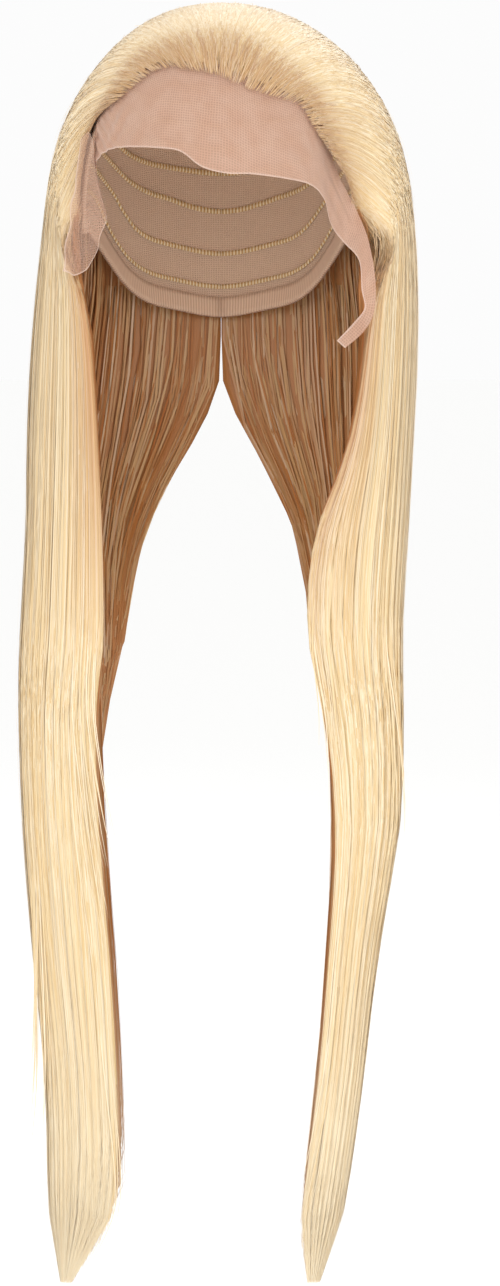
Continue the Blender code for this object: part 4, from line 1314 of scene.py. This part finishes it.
def track_material():
    """Machine-sewn weft: hair bound under close zigzag stitches, drawn 2 mm apart so that they show."""
    material, tree = new_material("sewn weft")
    place_on = add(tree, "ShaderNodeUVMap", uv_map="UVMap")
    sewn = add(tree, "ShaderNodeMapping", {0: place_on, "Scale": (240.0, 1.6, 1.0)})
    zigzag = {"Vector": sewn, "Scale": 0.32, "Distortion": 0.6, "Detail": 1.0}
    stitch = add(tree, "ShaderNodeTexWave", zigzag).outputs["Fac"]
    stops = ((0.25, linear("#C79B62")), (0.55, linear("#E3C493")), (0.85, linear("#F2DFBC")))
    tone = set_stops(add(tree, "ShaderNodeValToRGB", {0: stitch}), stops)
    relief = add(tree, "ShaderNodeBump", {"Strength": 0.6, "Distance": 0.0005, "Height": stitch})
    finish_material(tree, {"Base Color": tone, "Roughness": 0.6, "Sheen Weight": 0.15, "Normal": relief})
    return material


def band_material(settings):
    """Soft woven tape that binds the cap's edge: fine ribs along it, matt, a shade deeper than the net."""
    material, tree = new_material("woven edge tape")
    place_on = add(tree, "ShaderNodeUVMap", uv_map="UVMap")
    rows = {"Vector": place_on, "Scale": 190.0, "Distortion": 0.3}
    ribs = add(tree, "ShaderNodeTexWave", rows, bands_direction="X").outputs["Fac"]
    tone = add(tree, "ShaderNodeMix", {0: ribs, 6: linear("#CBA68A"), 7: settings.tint}, data_type="RGBA")
    relief = add(tree, "ShaderNodeBump", {"Strength": 0.4, "Distance": 0.0003, "Height": ribs})
    finish_material(
        tree, {"Base Color": tone.outputs[2], "Roughness": 0.8, "Sheen Weight": 0.2, "Normal": relief}
    )
    return material


def cap_edge(azimuth):
    """Polar angle of the cap's edge at each azimuth."""
    turned = np.abs((azimuth + 180.0) % 360.0 - 180.0)
    return np.interp(turned, column(CAP_EDGE, "azimuth"), column(CAP_EDGE, "polar"))


def cap_grid(offset, high=CAP_TOP, rows=CAP_ROWS):
    """Grid of points over the cap, rows running from a share of the way down its side to its edge."""
    azimuth = np.linspace(-180.0, 180.0, CAP_COLUMNS + 1)
    edge = np.mean([cap_edge(azimuth + shift) for shift in CAP_ROUNDING], axis=0)
    return np.array([head_point(azimuth, edge * down, offset) for down in np.linspace(high, 1.0, rows + 1)])


class WIG_OT_cap(bpy.types.Operator):
    """Draw the net cap over the head's room"""

    bl_idname = "wig.cap"
    bl_label = "Net cap"

    def execute(self, context):
        settings = context.scene.wig_cap
        grid = cap_grid(CAP_WALL / 2)
        mesh = grid_mesh("cap", [grid], flat_map(grid))
        piece = place("wig_cap_net", mesh, net_material(settings))
        finish_piece(piece, "cap_net", "wig_cap")

        inside = cap_grid(0.0)
        spots = np.meshgrid(np.linspace(0.0, 1.0, CAP_COLUMNS + 1), np.linspace(0.0, 1.0, CAP_ROWS + 1))
        base = place("cap inside", grid_mesh("cap inside", [inside], np.stack(spots, axis=-1)))
        values = {
            "Tracks": settings.tracks,
            "Height": settings.track_height,
            "Thickness": TRACK_THICKNESS,
            "Material": track_material(),
        }
        wefts = place("cap_wefts", run_tree(base, track_tree(), values))
        bpy.data.objects.remove(base)
        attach(wefts, "root")

        walls = [cap_grid(offset, BAND_SHARE, BAND_ROWS) for offset in (CAP_WALL + BAND_OUT, -BAND_IN)]
        band_mesh = grid_mesh("band", walls, flat_map(walls[0]), closed=True)
        band = place("cap_edge_band", band_mesh, band_material(settings))
        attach(band, "root")
        return {"FINISHED"}


FLOOR_SIZE = 40.0
VIEW_CENTRE = (0.0166, 0.0, -0.342)  # middle of the picture, and its height in metres there
VIEW_HEIGHT = 0.7124
CAMERA_LEVEL = -0.13
SENSOR = 36.0  # millimetres


def aim(thing, target):
    """Turn a camera or a light to look at a point."""
    arm = np.array(target) - np.array(thing.location)
    flat = math.hypot(arm[0], arm[1])
    thing.rotation_euler = (math.atan2(flat, -arm[2]), 0.0, math.atan2(-arm[0], arm[1]))


class WIG_OT_stage(bpy.types.Operator):
    """Set the floor, the soft studio light and the camera"""

    bl_idname = "wig.stage"
    bl_label = "Stage"

    def execute(self, context):
        scene = context.scene
        settings = scene.wig_stage
        half = FLOOR_SIZE / 2
        corners = np.array([[(-half, -half), (half, -half)], [(-half, half), (half, half)]])
        level = np.full((2, 2, 1), settings.floor_level)
        mesh = grid_mesh("floor", [np.concatenate([corners, level], axis=-1)], corners)

        # Matt white, so that the floor meets the air behind it without a line
        material, tree = new_material("matt studio floor")
        finish_material(tree, {"Base Color": settings.floor_tint, "Roughness": 0.9})
        place("studio_floor", mesh, material)

        for name, spot, size, power in LIGHTS:
            lamp = bpy.data.lights.new(name, "AREA")
            lamp.shape = "DISK"
            lamp.size = size
            lamp.energy = power
            light = bpy.data.objects.new(name, lamp)
            light.location = spot
            aim(light, LIGHT_TARGET)
            scene.collection.objects.link(light)

        world = bpy.data.worlds.new("studio")
        scene.world = world
        world.use_nodes = True
        sky = world.node_tree
        sky.nodes.clear()
        seen = add(sky, "ShaderNodeLightPath").outputs["Is Camera Ray"]
        glow = add(sky, "ShaderNodeMapRange", {0: seen, 3: WORLD_LIGHT, 4: WORLD_SEEN})
        air = add(sky, "ShaderNodeBackground", {0: (1.0, 1.0, 1.0, 1.0), 1: glow})
        add(sky, "ShaderNodeOutputWorld", {0: air})
        scene.view_settings.view_transform = "Standard"

        camera = bpy.data.cameras.new("camera")
        camera.sensor_width = SENSOR
        camera.lens = SENSOR * settings.camera_distance / VIEW_HEIGHT
        eye = bpy.data.objects.new("camera", camera)
        eye.location = (VIEW_CENTRE[0], -settings.camera_distance, CAMERA_LEVEL)
        aim(eye, VIEW_CENTRE)
        scene.collection.objects.link(eye)
        scene.camera = eye
        return {"FINISHED"}


class WIG_PT_panel(bpy.types.Panel):
    bl_label = "Lace Front Wig"
    bl_idname = "WIG_PT_panel"
    bl_space_type = "VIEW_3D"
    bl_region_type = "UI"
    bl_category = "Wig"

    def draw(self, context):
        for operator, group in STEPS:
            box = self.layout.box()
            settings = getattr(context.scene, group)
            for name in settings.__annotations__:
                box.prop(settings, name)
            box.operator(operator.bl_idname)


STEPS = (
    (WIG_OT_cap, "wig_cap"),
    (WIG_OT_lace, "wig_lace"),
    (WIG_OT_hair, "wig_hair"),
    (WIG_OT_stage, "wig_stage"),
)
GROUPS = {
    "wig_cap": CapSettings,
    "wig_lace": LaceSettings,
    "wig_hair": HairSettings,
    "wig_stage": StageSettings,
}
CLASSES = (*GROUPS.values(), *(operator for operator, group in STEPS), WIG_PT_panel)


def register():
    for item in CLASSES:
        bpy.utils.register_class(item)
    for name, group in GROUPS.items():
        setattr(bpy.types.Scene, name, bpy.props.PointerProperty(type=group))


def unregister():
    for name in GROUPS:
        delattr(bpy.types.Scene, name)
    for item in reversed(CLASSES):
        bpy.utils.unregister_class(item)


def main():
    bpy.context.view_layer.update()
    register()
    bpy.ops.wig.cap()
    bpy.ops.wig.lace()
    bpy.ops.wig.hair()
    bpy.ops.wig.stage()


if __name__ == "__main__":
    main()
